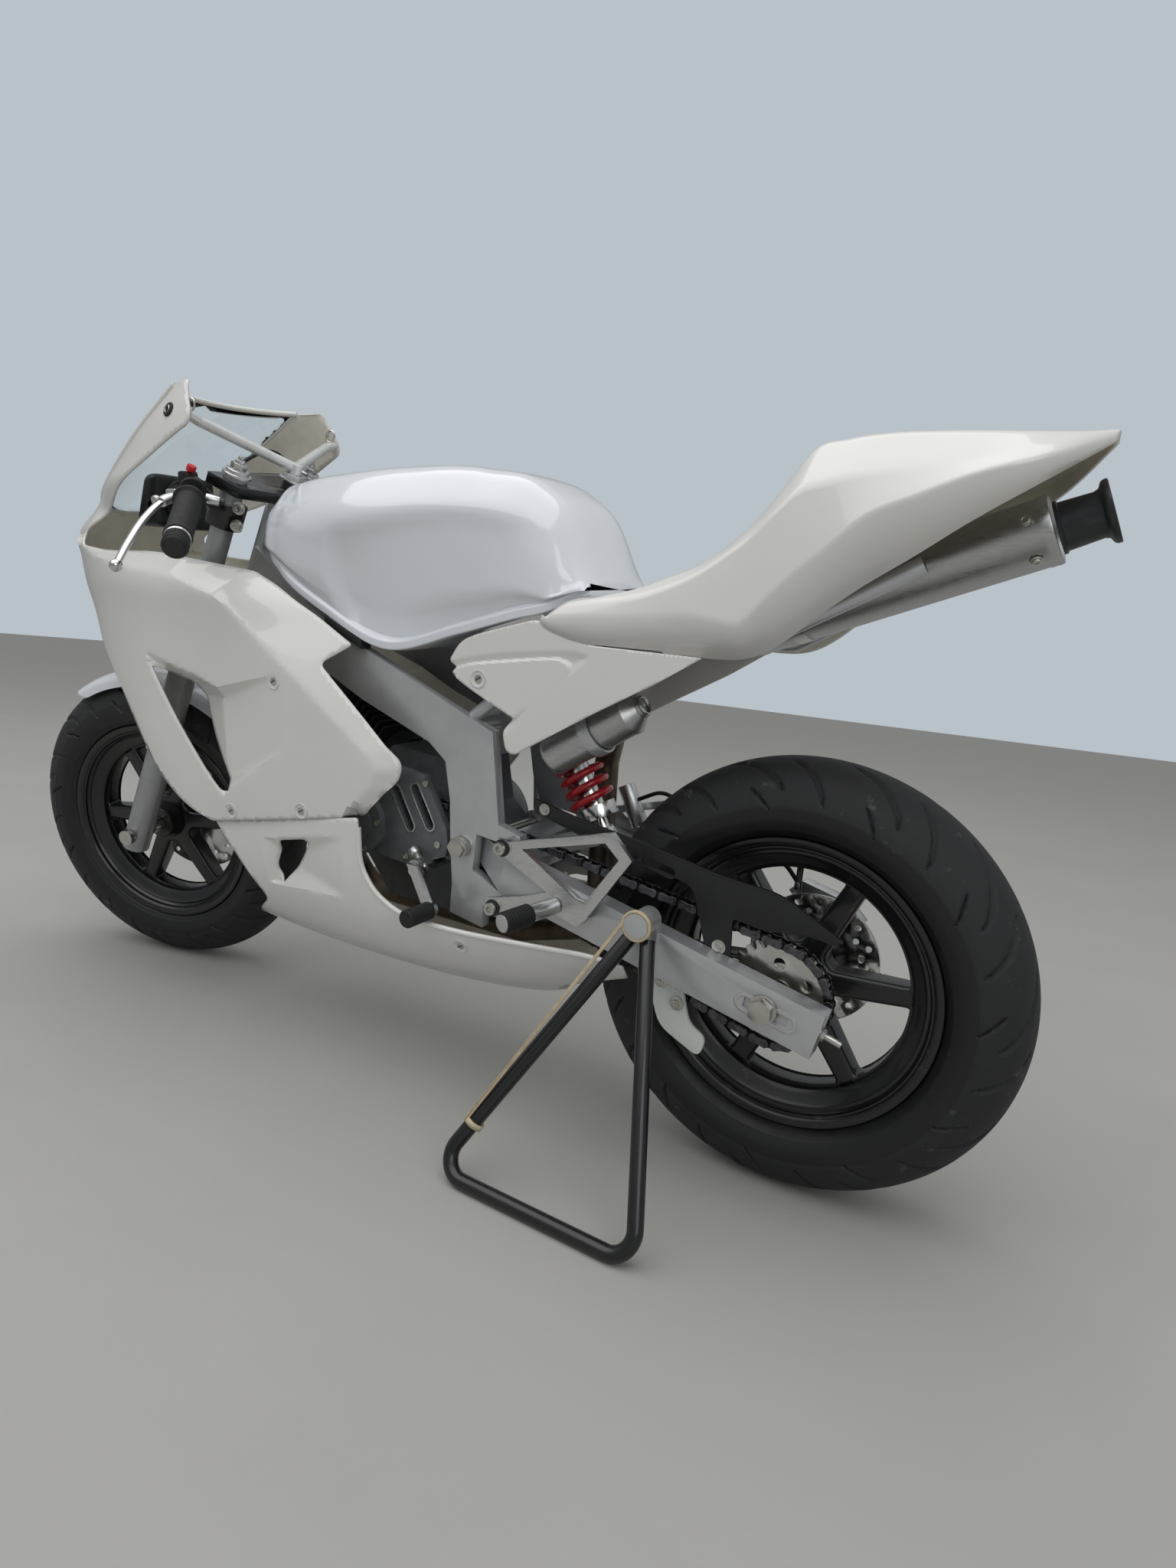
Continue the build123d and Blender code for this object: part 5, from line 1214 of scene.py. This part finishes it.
def guards():
    """Moulded guard with slots and a folded rim over the chain, and the nylon guide below it."""
    rim = rounded(GUARD, 4, True)
    slots = [slot_outline(*row) for row in GUARD_SLOTS]
    parts = [(plate([rim] + slots, GUARD_FACE - 4, GUARD_FACE, 1.2), "plastic")]
    fold = divide(rounded(GUARD[:7], 4), 8)
    strip = np.vstack([fold, (fold - (0, 3.4))[::-1]])
    parts.append((plate([strip], 84.2, 89.7, 0.9), "plastic"))
    parts += [(bolt((64, GUARD_FACE, 292), (0, 1, 0), 5, 3.4, 8), "zinc"),
              (bolt((294, GUARD_FACE, 404), (0, 1, 0), 4.5, 3, 7), "zinc")]
    piece("chain_guard_moulding", "chassis", parts, ["chain_guard"], sharp=36)
    rim = rounded(GUIDE, 4, True)
    parts = [(plate([rim], GUIDE_FACE - 5.2, GUIDE_FACE, 1.4), "nylon")]
    for x, z in ((128, 236), (107, 214)):
        parts.append((bolt((x, GUIDE_FACE, z), (0, 1, 0), 5, 3.6, 8.5), "zinc"))
    piece("chain_guide_moulding", "chassis", parts, ["chain_guide"], sharp=36)


# Silencer: ends of its axis, half axes of its oval, and its outlet
CAN_FRONT = np.array((96.0, 0.0, 628.0))
CAN_REAR = np.array((-193.0, 0.0, 741.0))
CAN_HALF = (50.0, 33.0)


def silencer():
    """Oval can with rolled ends and a clamp, and a dark turned outlet."""
    run = CAN_REAR - CAN_FRONT
    length = float(np.linalg.norm(run))
    turn = toward(run)
    oval = turn * (1.0, 1.0, CAN_HALF[1] / CAN_HALF[0])
    wide = CAN_HALF[0]
    body = [(0, 0), (0, wide * 0.5), (2, wide - 5), (4, wide - 2.5), (6, wide - 0.8), (8, wide - 0.2),
            (11, wide - 0.2), (12, wide - 1.0), (14, wide - 1.0), (length - 14, wide - 1.0),
            (length - 12.5, wide - 0.2), (length - 4, wide), (length - 1.5, wide - 1),
            (length - 1, wide - 3.5), (length - 5, wide - 6), (length - 6, 0)]
    parts = [(moved(lathe(body, sides=96), CAN_FRONT, oval), "can")]
    strap = [(52, wide - 1), (52, wide + 0.6), (66, wide + 0.6), (66, wide - 1)]
    parts.append((moved(lathe(strap, sides=96), CAN_FRONT, oval), "aluminium"))
    way = turn[:, 0] * (-1 if turn[1, 0] < 0 else 1)
    up = turn[:, 2]
    for share, lift in ((0.93, 0.32), (0.93, -0.75), (0.05, 0.3)):
        y = wide * math.sqrt(1 - lift * lift)
        at = CAN_FRONT + run * share + way * (y - 0.6) + up * lift * CAN_HALF[1]
        out = unit(way * y / wide ** 2 + up * lift / CAN_HALF[1])
        parts.append((bolt(at, out, 4.6, 2.2, 6.0, True), "zinc"))
    piece("silencer_can", "chassis", parts, ["silencer"], sharp=30)
    start = CAN_REAR + unit(run) * 0.4
    tip = [(0, 25), (3, 25), (4, 23), (34, 21.5), (38, 23), (40.5, 28), (43, 29.5), (46.5, 29.5), (47, 28),
           (45, 24), (41, 20), (34, 18.6), (2, 18.6), (2, 0)]
    piece("outlet_turning", "chassis", [(moved(lathe(tip, sides=72), start, turn), "graphite")],
          ["silencer_outlet"], sharp=34)


# Catch tank: ends of its axis and its radius
CATCH_LOW = np.array((308.0, 60.0, 462.0))
CATCH_HIGH = np.array((190.0, 60.0, 536.0))
CATCH_RADIUS = 26.0


def catch_tank():
    """Spun aluminium canister with rolled beads, a conical end and a ring cap."""
    run = CATCH_HIGH - CATCH_LOW
    length = float(np.linalg.norm(run))
    r = CATCH_RADIUS
    body = [(0, 0), (0, r - 6), (2, r - 2.5), (5, r - 0.5), (8, r), (10, r - 0.8), (length * 0.4, r - 0.8),
            (length - 22, r - 0.8), (length - 20, r), (length - 17.5, r), (length - 16, r - 1.5),
            (length - 4, r - 12), (length - 4, r - 13), (length, r - 13), (length, 0)]
    parts = [(lathe(body, CATCH_LOW, run, 72), "can")]
    ring = circle(0, 0, 10, 40)
    path = np.stack([ring[:, 0], ring[:, 0] * 0 + length + 1.5, ring[:, 1]], -1)
    parts.append((moved(tube(path, 1.6, 8, True), CATCH_LOW, toward(run)), "steel"))
    clip = np.array([(256, 42, 520), (238, 34, 505), (226, 32, 500), (218, 34, 503)], float)
    parts.append((tube(through(clip, 16), 1.3, 8), "steel"))
    piece("catch_canister", "chassis", parts, ["catch_tank"], sharp=30)


def bar_line(share, side=1):
    """Point on the handlebar from its inner end, 0, to its outer end, 1."""
    inner = np.array((STEER_FOOT[0] - 280.83, 125.0, 775.1))
    outer = np.array((STEER_FOOT[0] - 371.13, 283.0, 705.0))
    return (inner + (outer - inner) * share) * (1, side, 1)


def grips():
    """Ribbed rubber grips with an inner flange, a bright ring and a ribbed plug at each end."""
    for name, side in (("left_grip", 1), ("right_grip", -1)):
        start, end = bar_line(0.2532, side), bar_line(1.0, side)
        run = end - start
        body = [(0, 11.5), (0, 19), (1, 20.5), (4, 20.5), (5.4, 18.5), (7, 16),
                *ribs(8, 4.2, 24, ((0, 15.6), (0.8, 16.4), (2.6, 16.4), (3.4, 15.6))),
                (110, 16), (111, 17.2), (115, 17.2), (116, 16), (116, 11.5)]
        plug = [(121.5, 11), (121.5, 14.4),
                *ribs(122, 4, 5, ((0, 14.6), (0.8, 15.6), (2.6, 15.6), (3.2, 14.6))),
                (142.5, 14.4), (145, 12.5), (145.6, 9), (145.6, 0)]
        ring = [(116.2, 11), (116.2, 15.4), (117, 16), (120.6, 16), (121.4, 15.2), (121.4, 11)]
        looks = ((body, "rubber"), (plug, "rubber"), (ring, "steel"))
        parts = [(lathe(profile, start, run, 48), look) for profile, look in looks]
        piece(name + "_moulding", "steering", parts, [name], sharp=45)


def cockpit():
    """Fork caps, stem nut, clamp bolts, the perches of both levers and the kill switch."""
    axis = np.array(STEER_AXIS)
    parts = []
    for side in (1, -1):
        at = steer_point(778, FORK_OFFSET, side * LEG_Y)
        cap = [(-1, 0), (-1, 19.5), (2.0, 19.5), (3, 18.5), (3, 15.5), (7, 15.5), (8, 14.5), (8, 10.5),
               (9.5, 10.5)]
        parts.append((lathe(cap, at, axis, 40), "aluminium"))
        hexagon = plate([circle(0, 0, 11, 6)], 0, 7, 0.8)
        parts.append((moved(hexagon, at + axis * 9.5, toward(axis)), "aluminium"))
        parts.append((bar(at + axis * 16, at + axis * 21, 6.5), "aluminium"))
        parts.append((bar(at + axis * 21, at + axis * 26, 3.6), "zinc"))
        for x, z in ((823, 747), (829, 724)):
            parts.append((bolt((x, side * 104, z), (-0.25, side, 0), 6.6, 6, 8.5, True), "zinc"))
    top = steer_point(784, 0, 0)
    parts.append((lathe(drum(19, 0, 3, 0.5), top, axis, 40), "aluminium"))
    nut = plate([circle(0, 0, 17, 6), circle(0, 0, 9, 24)], 0, 8, 1)
    parts.append((moved(nut, top + axis * 3, toward(axis)), "aluminium"))
    piece("bridge_fittings", "steering", parts, sharp=34)
    parts = []
    for side in (1, -1):
        out = unit(bar_line(1, side) - bar_line(0, side))
        spot = bar_line(0.17, side)
        ahead = unit(np.cross(out, (0, 0, 1))) * -side
        rise = unit(np.cross(out, ahead)) * side
        parts.append((lathe(drum(16.5, 0, 11, 1.5), bar_line(0.03, side), out, 36), "plastic"))
        parts.append((bar(spot + ahead * 17 - rise * 3, spot + ahead * 34 - rise * 8, 6.5), "aluminium"))
        parts.append((bar(spot + ahead * 34 - rise * 8, spot + ahead * 40 - rise * 9, 4.4), "black"))
    parts.append((block((16, 22, 20), bar_line(0.05) + (8, -2, 12), None, 4), "plastic"))
    parts.append((bar(bar_line(0.05) + (2, 0, 22), bar_line(0.05) + (-2, 0, 29), 6.0), "switch"))
    piece("bar_controls", "steering", parts, sharp=38)


# Left faces of the sprocket's and the crank's covers, and the crank's place
COVER_FACE = 92.8
CRANK_FACE = 101.6
CRANK = (580.0, 340.0)


def fittings():
    """Small hardware: pivot nut, axle washers and adjusters, rearset bolts, cover rims and screws."""
    parts = [(moved(plate([circle(0, 0, 12.5, 6)], 0, 6, 1.0), (405, 109, 340), None), "zinc")]
    for x, z in ((328, 358), (338, 282)):
        for side in (1, -1):
            parts.append((bar((x, side * 124.6, z), (x, side * 126.4, z), 10.5), "black"))
            parts.append((bolt((x, side * 126.4, z), (0, side, 0), 7.6, 6.5, 0, True), "zinc"))
    for side in (1, -1):
        way = unit((-83.0 + 66, 0, 220.0 - 225))
        root = np.array((-57.0, side * 103, 234.0))
        parts.append((bolt(root, way, 6.5, 5, 9), "zinc"))
        parts.append((bar(root + way * 6, root + way * 24, 3.6), "zinc"))
        rim = slot_outline(22, 249.5, -26, 239.0, 10.5)
        hole = slot_outline(22, 249.5, -26, 239.0, 6.6)
        low, high = sorted((side * 114.6, side * 116.0))
        parts.append((plate([rim, hole], low, high, 0.4), "aluminium"))
    for ends in ((519, 391, 494, 348), (487, 398, 462, 355)):
        rims_of_slot = [slot_outline(*ends, half) for half in (8.8, 6.3)]
        parts.append((plate(rims_of_slot, COVER_FACE, COVER_FACE + 1.8, 0.6), "aluminium"))
    for x, z in ((448, 332), (545, 414), (566, 392), (566, 306), (500, 306), (470, 408)):
        parts.append((bolt((x, COVER_FACE, z), (0, 1, 0), 4.6, 3.2, 0, True), "zinc"))
    for x, z in circle(*CRANK, 38, 5, 0.5):
        parts.append((bolt((x, CRANK_FACE, z), (0, 1, 0), 4.4, 2.6, 0, True), "zinc"))
    boss = drum(27, CRANK_FACE, CRANK_FACE + 2.4, 1.2)
    parts.append((lathe(boss, (CRANK[0], 0, CRANK[1]), sides=56), "engine"))
    parts.append((bolt((CRANK[0], CRANK_FACE + 2.4, CRANK[1]), (0, 1, 0), 6, 3, 0, True), "zinc"))
    piece("frame_fittings", "chassis", parts, sharp=36)
    peg = [(0, 10.2), (0, 11.6), *ribs(1, 4.6, 8, ((0, 12.4), (2.8, 12.4), (3.4, 11.4), (4, 11.4))),
           (38.5, 11), (39.2, 0)]
    tip = [(0, 10.4), (0, 11.2), *ribs(0.5, 4.6, 9, ((0, 11.4), (2.8, 11.4), (3.4, 10.6), (4, 10.6))),
           (42, 10), (42.6, 0)]
    rubber = [(lathe(peg, (262, side * 162, 302.5), (10, side * 38, -2.5), 28), "rubber") for side in (1, -1)]
    rubber.append((lathe(tip, (430, 131, 259), sides=28), "rubber"))
    piece("peg_rubbers", "chassis", rubber, sharp=40)
    linkage = [(tube(through([(457, 119, 304), (452, 121, 290), (446, 124, 276)], 12), 4.2, 12), "aluminium"),
               (bar((463, 107, 306), (463, 122, 306), 9), "aluminium"),
               (bar((480, 100, 318), (452, 112, 303), 5.2), "zinc"),
               (bar((484, 99, 320), (476, 101, 315), 7.2), "aluminium"),
               (bar((457, 112, 300), (457, 121, 300), 7), "zinc")]
    piece("shift_linkage", "chassis", linkage, sharp=36)


def front_fender():
    """Front fender: an arc over the tyre with turned-down sides, its ends rounded off across."""
    across = np.linspace(-1, 1, 41)
    y = 46 * np.sin(across * math.pi / 2)
    fall = np.array([0, 0.5, 2, 6, 13, 25])
    r = 253.8 - np.interp(np.abs(y), (0, 14, 27, 37, 43.5, 46), fall)
    front = math.radians(56.7) + math.radians(7) * np.abs(across) ** 5
    rear = math.radians(133) - math.radians(9) * np.abs(across) ** 5
    share = np.linspace(0, 1, 81)[:, None]
    a = front + (rear - front) * share
    x, z = FRONT_AXLE[0] + r * np.cos(a), FRONT_AXLE[1] + r * np.sin(a)
    grid = np.stack([x, np.broadcast_to(y, a.shape), z], -1)
    piece("front_fender_shell", "steering", [(net(grid), "lacquer")], ["front_fender"],
          wall=2.4, sharp=40)
    parts = []
    for side in (1, -1):
        parts.append((block((26, 36, 2.5), (1001, side * 62, 457), None, 1), "black"))
        parts.append((bolt((1001, side * 47, 459), (0, side, 0), 5, 3, 7), "zinc"))
    piece("fender_brackets", "steering", parts, sharp=36)


# Middle line of the left lever's blade
LEVER = np.array([(880, 150, 762), (884, 172, 757), (888, 205, 737), (889, 238, 708), (890, 260, 684)], float)


def levers():
    """Straight two-tone lever blades with an adjuster at the root and a ball at the tip."""
    for name, side in (("clutch_lever", 1), ("brake_lever", -1)):
        path = through(LEVER * (1, side, 1), 24)
        ball = [(-8, 0), (-7.4, 3.4), (-5, 6.4), (0, 8.2), (5, 6.4), (7.4, 3.4), (8, 0)]
        parts = [(tube(path, 6.2, squash=0.62), "steel"),
                 (lathe(ball, (890.5, side * 263, 680), (0, side, -0.9), 28), "steel"),
                 (tube(path[:6], 8.4, squash=0.8), "aluminium"),
                 (lathe(drum(6.5, -3, 3, 0.8), path[5] + (7, 0, 2), (0.2, side, -0.3), 24), "zinc"),
                 (block((16, 12, 18), path[1] + (2, 0, 1), edge=3), "aluminium")]
        piece(name + "_blade", "steering", parts, [name], sharp=40)


def instrument():
    """Rounded instrument housing with a round dial, its bezel and three small lamps."""
    outline = [(1036, 712), (1084, 712), (1090, 724), (1070, 790), (1040, 790)]
    case = plate([soften(np.array(outline, float), [8, 8, 10, 14, 10], 5, True)], -55, 55, 12, 5)
    way = unit((-1.0, 0, 0.05))
    at = np.array((1037.0, 8, 751))
    ring = [(-6, 31), (1.5, 34), (4, 34), (5, 32.5), (5, 30.5), (2, 29.5), (-6, 29)]
    bezel = lathe(ring, at, way, 64, True)
    glass = lathe([(-5, 0), (-5, 30), (2.2, 30), (2.8, 20), (3, 0)], at, way, 64)
    parts = [(case, "plastic"), (bezel, "black"), (glass, "dial")]
    for k in range(3):
        parts.append((lathe(drum(4.5, -3, 2, 0.8), (1037.5, -41, 738 + k * 14), way, 20), "nylon"))
    piece("instrument_cluster", "chassis", parts, ["instrument"], sharp=36)


# The studio
def camera():
    """Camera where the photograph was taken, with its lens, turned by yaw, pitch and roll."""
    flat = math.cos(CAMERA_PITCH)
    sight = Vector((flat * math.cos(CAMERA_YAW), flat * math.sin(CAMERA_YAW), -math.sin(CAMERA_PITCH)))
    level = sight.cross(Vector((0, 0, 1))).normalized()
    rise = level.cross(sight)
    side = level * math.cos(CAMERA_ROLL) + rise * math.sin(CAMERA_ROLL)
    top = rise * math.cos(CAMERA_ROLL) - level * math.sin(CAMERA_ROLL)
    lens = bpy.data.cameras.new("photo_camera")
    lens.sensor_fit = "VERTICAL"
    lens.sensor_height = SENSOR
    lens.lens = CAMERA_LENS
    lens.clip_start = 0.05
    eye = bpy.data.objects.new("photo_camera", lens)
    eye.matrix_world = Matrix.Translation(CAMERA_AT) @ Matrix((side, top, -sight)).transposed().to_4x4()
    bpy.context.scene.collection.objects.link(eye)
    bpy.context.scene.camera = eye


def seen_colour(tree, shaded, colour, strength):
    """A shader that the camera, also through glass, sees as a plain colour; it lights the rest as shaded."""
    path = add(tree, "ShaderNodeLightPath")
    rays = {0: path.outputs["Is Camera Ray"], 1: path.outputs["Is Transmission Ray"]}
    either = add(tree, "ShaderNodeMath", rays, operation="MAXIMUM").outputs[0]
    plain = add(tree, "ShaderNodeEmission", {"Color": tuple(colour) + (1,), "Strength": strength}).outputs[0]
    return add(tree, "ShaderNodeMixShader", {0: either, 1: shaded, 2: plain}).outputs[0]


def stage():
    """Pale floor, plain backdrop, an even sky brighter overhead and two large soft lamps."""
    sizes = bpy.context.scene.bike_stage
    half = sizes.floor_size / 2
    corners = [(-half, -half, 0), (half, -half, 0), (half, half, 0), (-half, half, 0)]
    ground = bpy.data.meshes.new("floor")
    ground.from_pydata(corners, [], [(0, 1, 2, 3)])
    floor = bpy.data.objects.new("floor", ground)
    bpy.context.scene.collection.objects.link(floor)
    # Fine concrete, floated: even warm grey with a faint mottle
    finish("floor", "pale_floor", sizes.floor, 0.8, mottle=0.02, patch=400, grain=0.2, grain_size=6)
    ground.materials.append(LOOK["floor"])
    world = bpy.data.worlds.new("studio")
    bpy.context.scene.world = world
    world.use_nodes = True
    tree = world.node_tree
    tree.nodes.clear()
    way = add(tree, "ShaderNodeTexCoord").outputs["Generated"]
    height = add(tree, "ShaderNodeSeparateXYZ", {0: way}).outputs["Z"]
    share = add(tree, "ShaderNodeMapRange", {"Value": height, "From Min": -0.1, "From Max": 0.9}).outputs[0]
    sky = add(tree, "ShaderNodeMix", {"Factor": share, 6: linear(SKY_LOW) + (1,), 7: linear(SKY_HIGH) + (1,)},
              data_type="RGBA").outputs[2]
    lit = add(tree, "ShaderNodeBackground", {"Color": sky, "Strength": SKY_LIGHT}).outputs[0]
    out = add(tree, "ShaderNodeOutputWorld")
    tree.links.new(seen_colour(tree, lit, sizes.backdrop, 1.0), out.inputs["Surface"])
    for name, place, aim, size, power in LAMPS:
        glow = bpy.data.lights.new(name, "AREA")
        glow.shape, glow.size, glow.energy = "DISK", size, power
        lamp = bpy.data.objects.new(name, glow)
        spot = Vector(place)
        turn = (spot - Vector(aim)).to_track_quat("Z", "Y").to_matrix().to_4x4()
        lamp.matrix_world = Matrix.Translation(spot) @ turn
        bpy.context.scene.collection.objects.link(lamp)
    bpy.context.scene.view_settings.view_transform = "Standard"


# Finishes and edges of the solids that stay: node names, finish, edge radius in mm
NODE_LOOKS = (
    (("frame_left", "frame_right", "head_tube", "swingarm_left", "swingarm_right", "subframe"), "silver",
     2.2),
    (("rear_axle", "front_axle", "swingarm_pivot"), "zinc", 1.0),
    (("engine_case", "sprocket_cover"), "engine", 2.5),
    (("cylinder",), "dark", 0.6),
    (("carburettor",), "aluminium", 1.5),
    (("exhaust_pipe",), "exhaust", 0.5),
    (("lower_bridge", "top_bridge", "left_handlebar", "right_handlebar", "stand"), "black", 1.0),
    (("left_rearset", "right_rearset", "brake_pedal", "shift_lever", "rear_caliper"), "aluminium", 1.2),
    (("shock",), "steel", 0.8),
    (("spring",), "spring", 0.0),
    (("fork_left", "fork_right"), "fork", 1.2),
    (("front_caliper",), "black", 2.0),
    (("front_disc", "rear_disc"), "steel", 0.4),
    (("rear_sprocket",), "zinc", 0.4),
    (("fairing_stay",), "stay", 1.0),
    (("front_brake_hose", "rear_brake_hose"), "rubber", 0.0),
    (("stand_band",), "band", 0.0),
)


def solids():
    """Finishes on the solids that stay, with their points welded and their edges rounded."""
    for names, look, edge in NODE_LOOKS:
        for name in names:
            node = frame["nodes"][name]
            node.data.materials.clear()
            node.data.materials.append(LOOK[look])
            node.data.polygons.foreach_set("material_index", np.zeros(len(node.data.polygons), np.int32))
            weld = node.modifiers.new("Weld", "WELD")
            weld.merge_threshold = 1e-5
            if edge:
                bevel = node.modifiers.new("Edge", "BEVEL")
                bevel.width = edge * MM
                bevel.segments = 3
                bevel.limit_method = "ANGLE"
                bevel.angle_limit = math.radians(34)
                bevel.use_clamp_overlap = True
                bevel.harden_normals = True
            node.data.polygons.foreach_set("use_smooth", np.ones(len(node.data.polygons), bool))


# Operators, one for each group of pieces
def operator(work):
    """An operator class that runs a function, named and described as the function is."""
    def execute(self, context):
        """Runs the function; an error in it stops the script."""
        work()
        return {"FINISHED"}

    name = work.__name__
    return type("BIKE_OT_" + name, (bpy.types.Operator,), {
        "__doc__": work.__doc__, "bl_idname": "bike." + name, "bl_label": name.replace("_", " ").capitalize(),
        "execute": execute})


MAKERS = tuple(operator(work) for work in (
    upper_fairing, windscreen, lower_fairing, tank, seat_cowl, side_covers, tyres, rims, chain, guards,
    silencer, catch_tank, grips, cockpit, fittings, front_fender, levers, instrument, solids, stage))


class MotorcyclePanel(bpy.types.Panel):
    """Lists the motorcycle's sizes, colours and pieces."""
    bl_idname = "VIEW3D_PT_motorcycle"
    bl_label = "Motorcycle"
    bl_space_type = "VIEW_3D"
    bl_region_type = "UI"
    bl_category = "Motorcycle"

    def draw(self, context):
        """Rows for every size and colour, then a button for every operator."""
        column = self.layout.column()
        for name, kind in POINTERS:
            group = getattr(context.scene, name)
            for key in group.bl_rna.properties.keys():
                if key not in ("rna_type", "name"):
                    column.prop(group, key)
        for kind in MAKERS:
            column.operator(kind.bl_idname)


POINTERS = (("bike_shells", ShellColours), ("bike_metals", MetalColours), ("bike_rubber", RubberSizes),
            ("bike_stage", StageSizes))
CLASSES = (ShellColours, MetalColours, RubberSizes, StageSizes) + MAKERS + (MotorcyclePanel,)


def register():
    """Registers the classes and hangs their groups on the scene."""
    for kind in CLASSES:
        bpy.utils.register_class(kind)
    for name, kind in POINTERS:
        setattr(bpy.types.Scene, name, bpy.props.PointerProperty(type=kind))


def unregister():
    """Takes all of it away again, in the other order."""
    for name, kind in POINTERS:
        delattr(bpy.types.Scene, name)
    for kind in reversed(CLASSES):
        bpy.utils.unregister_class(kind)


def main():
    """Registers the classes, runs the operators in order and writes the boxes before and after."""
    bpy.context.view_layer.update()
    register()
    camera()
    make_finishes()
    for kind in MAKERS:
        getattr(bpy.ops.bike, kind.bl_idname.split(".")[1])()


if __name__ == "__main__":
    main()
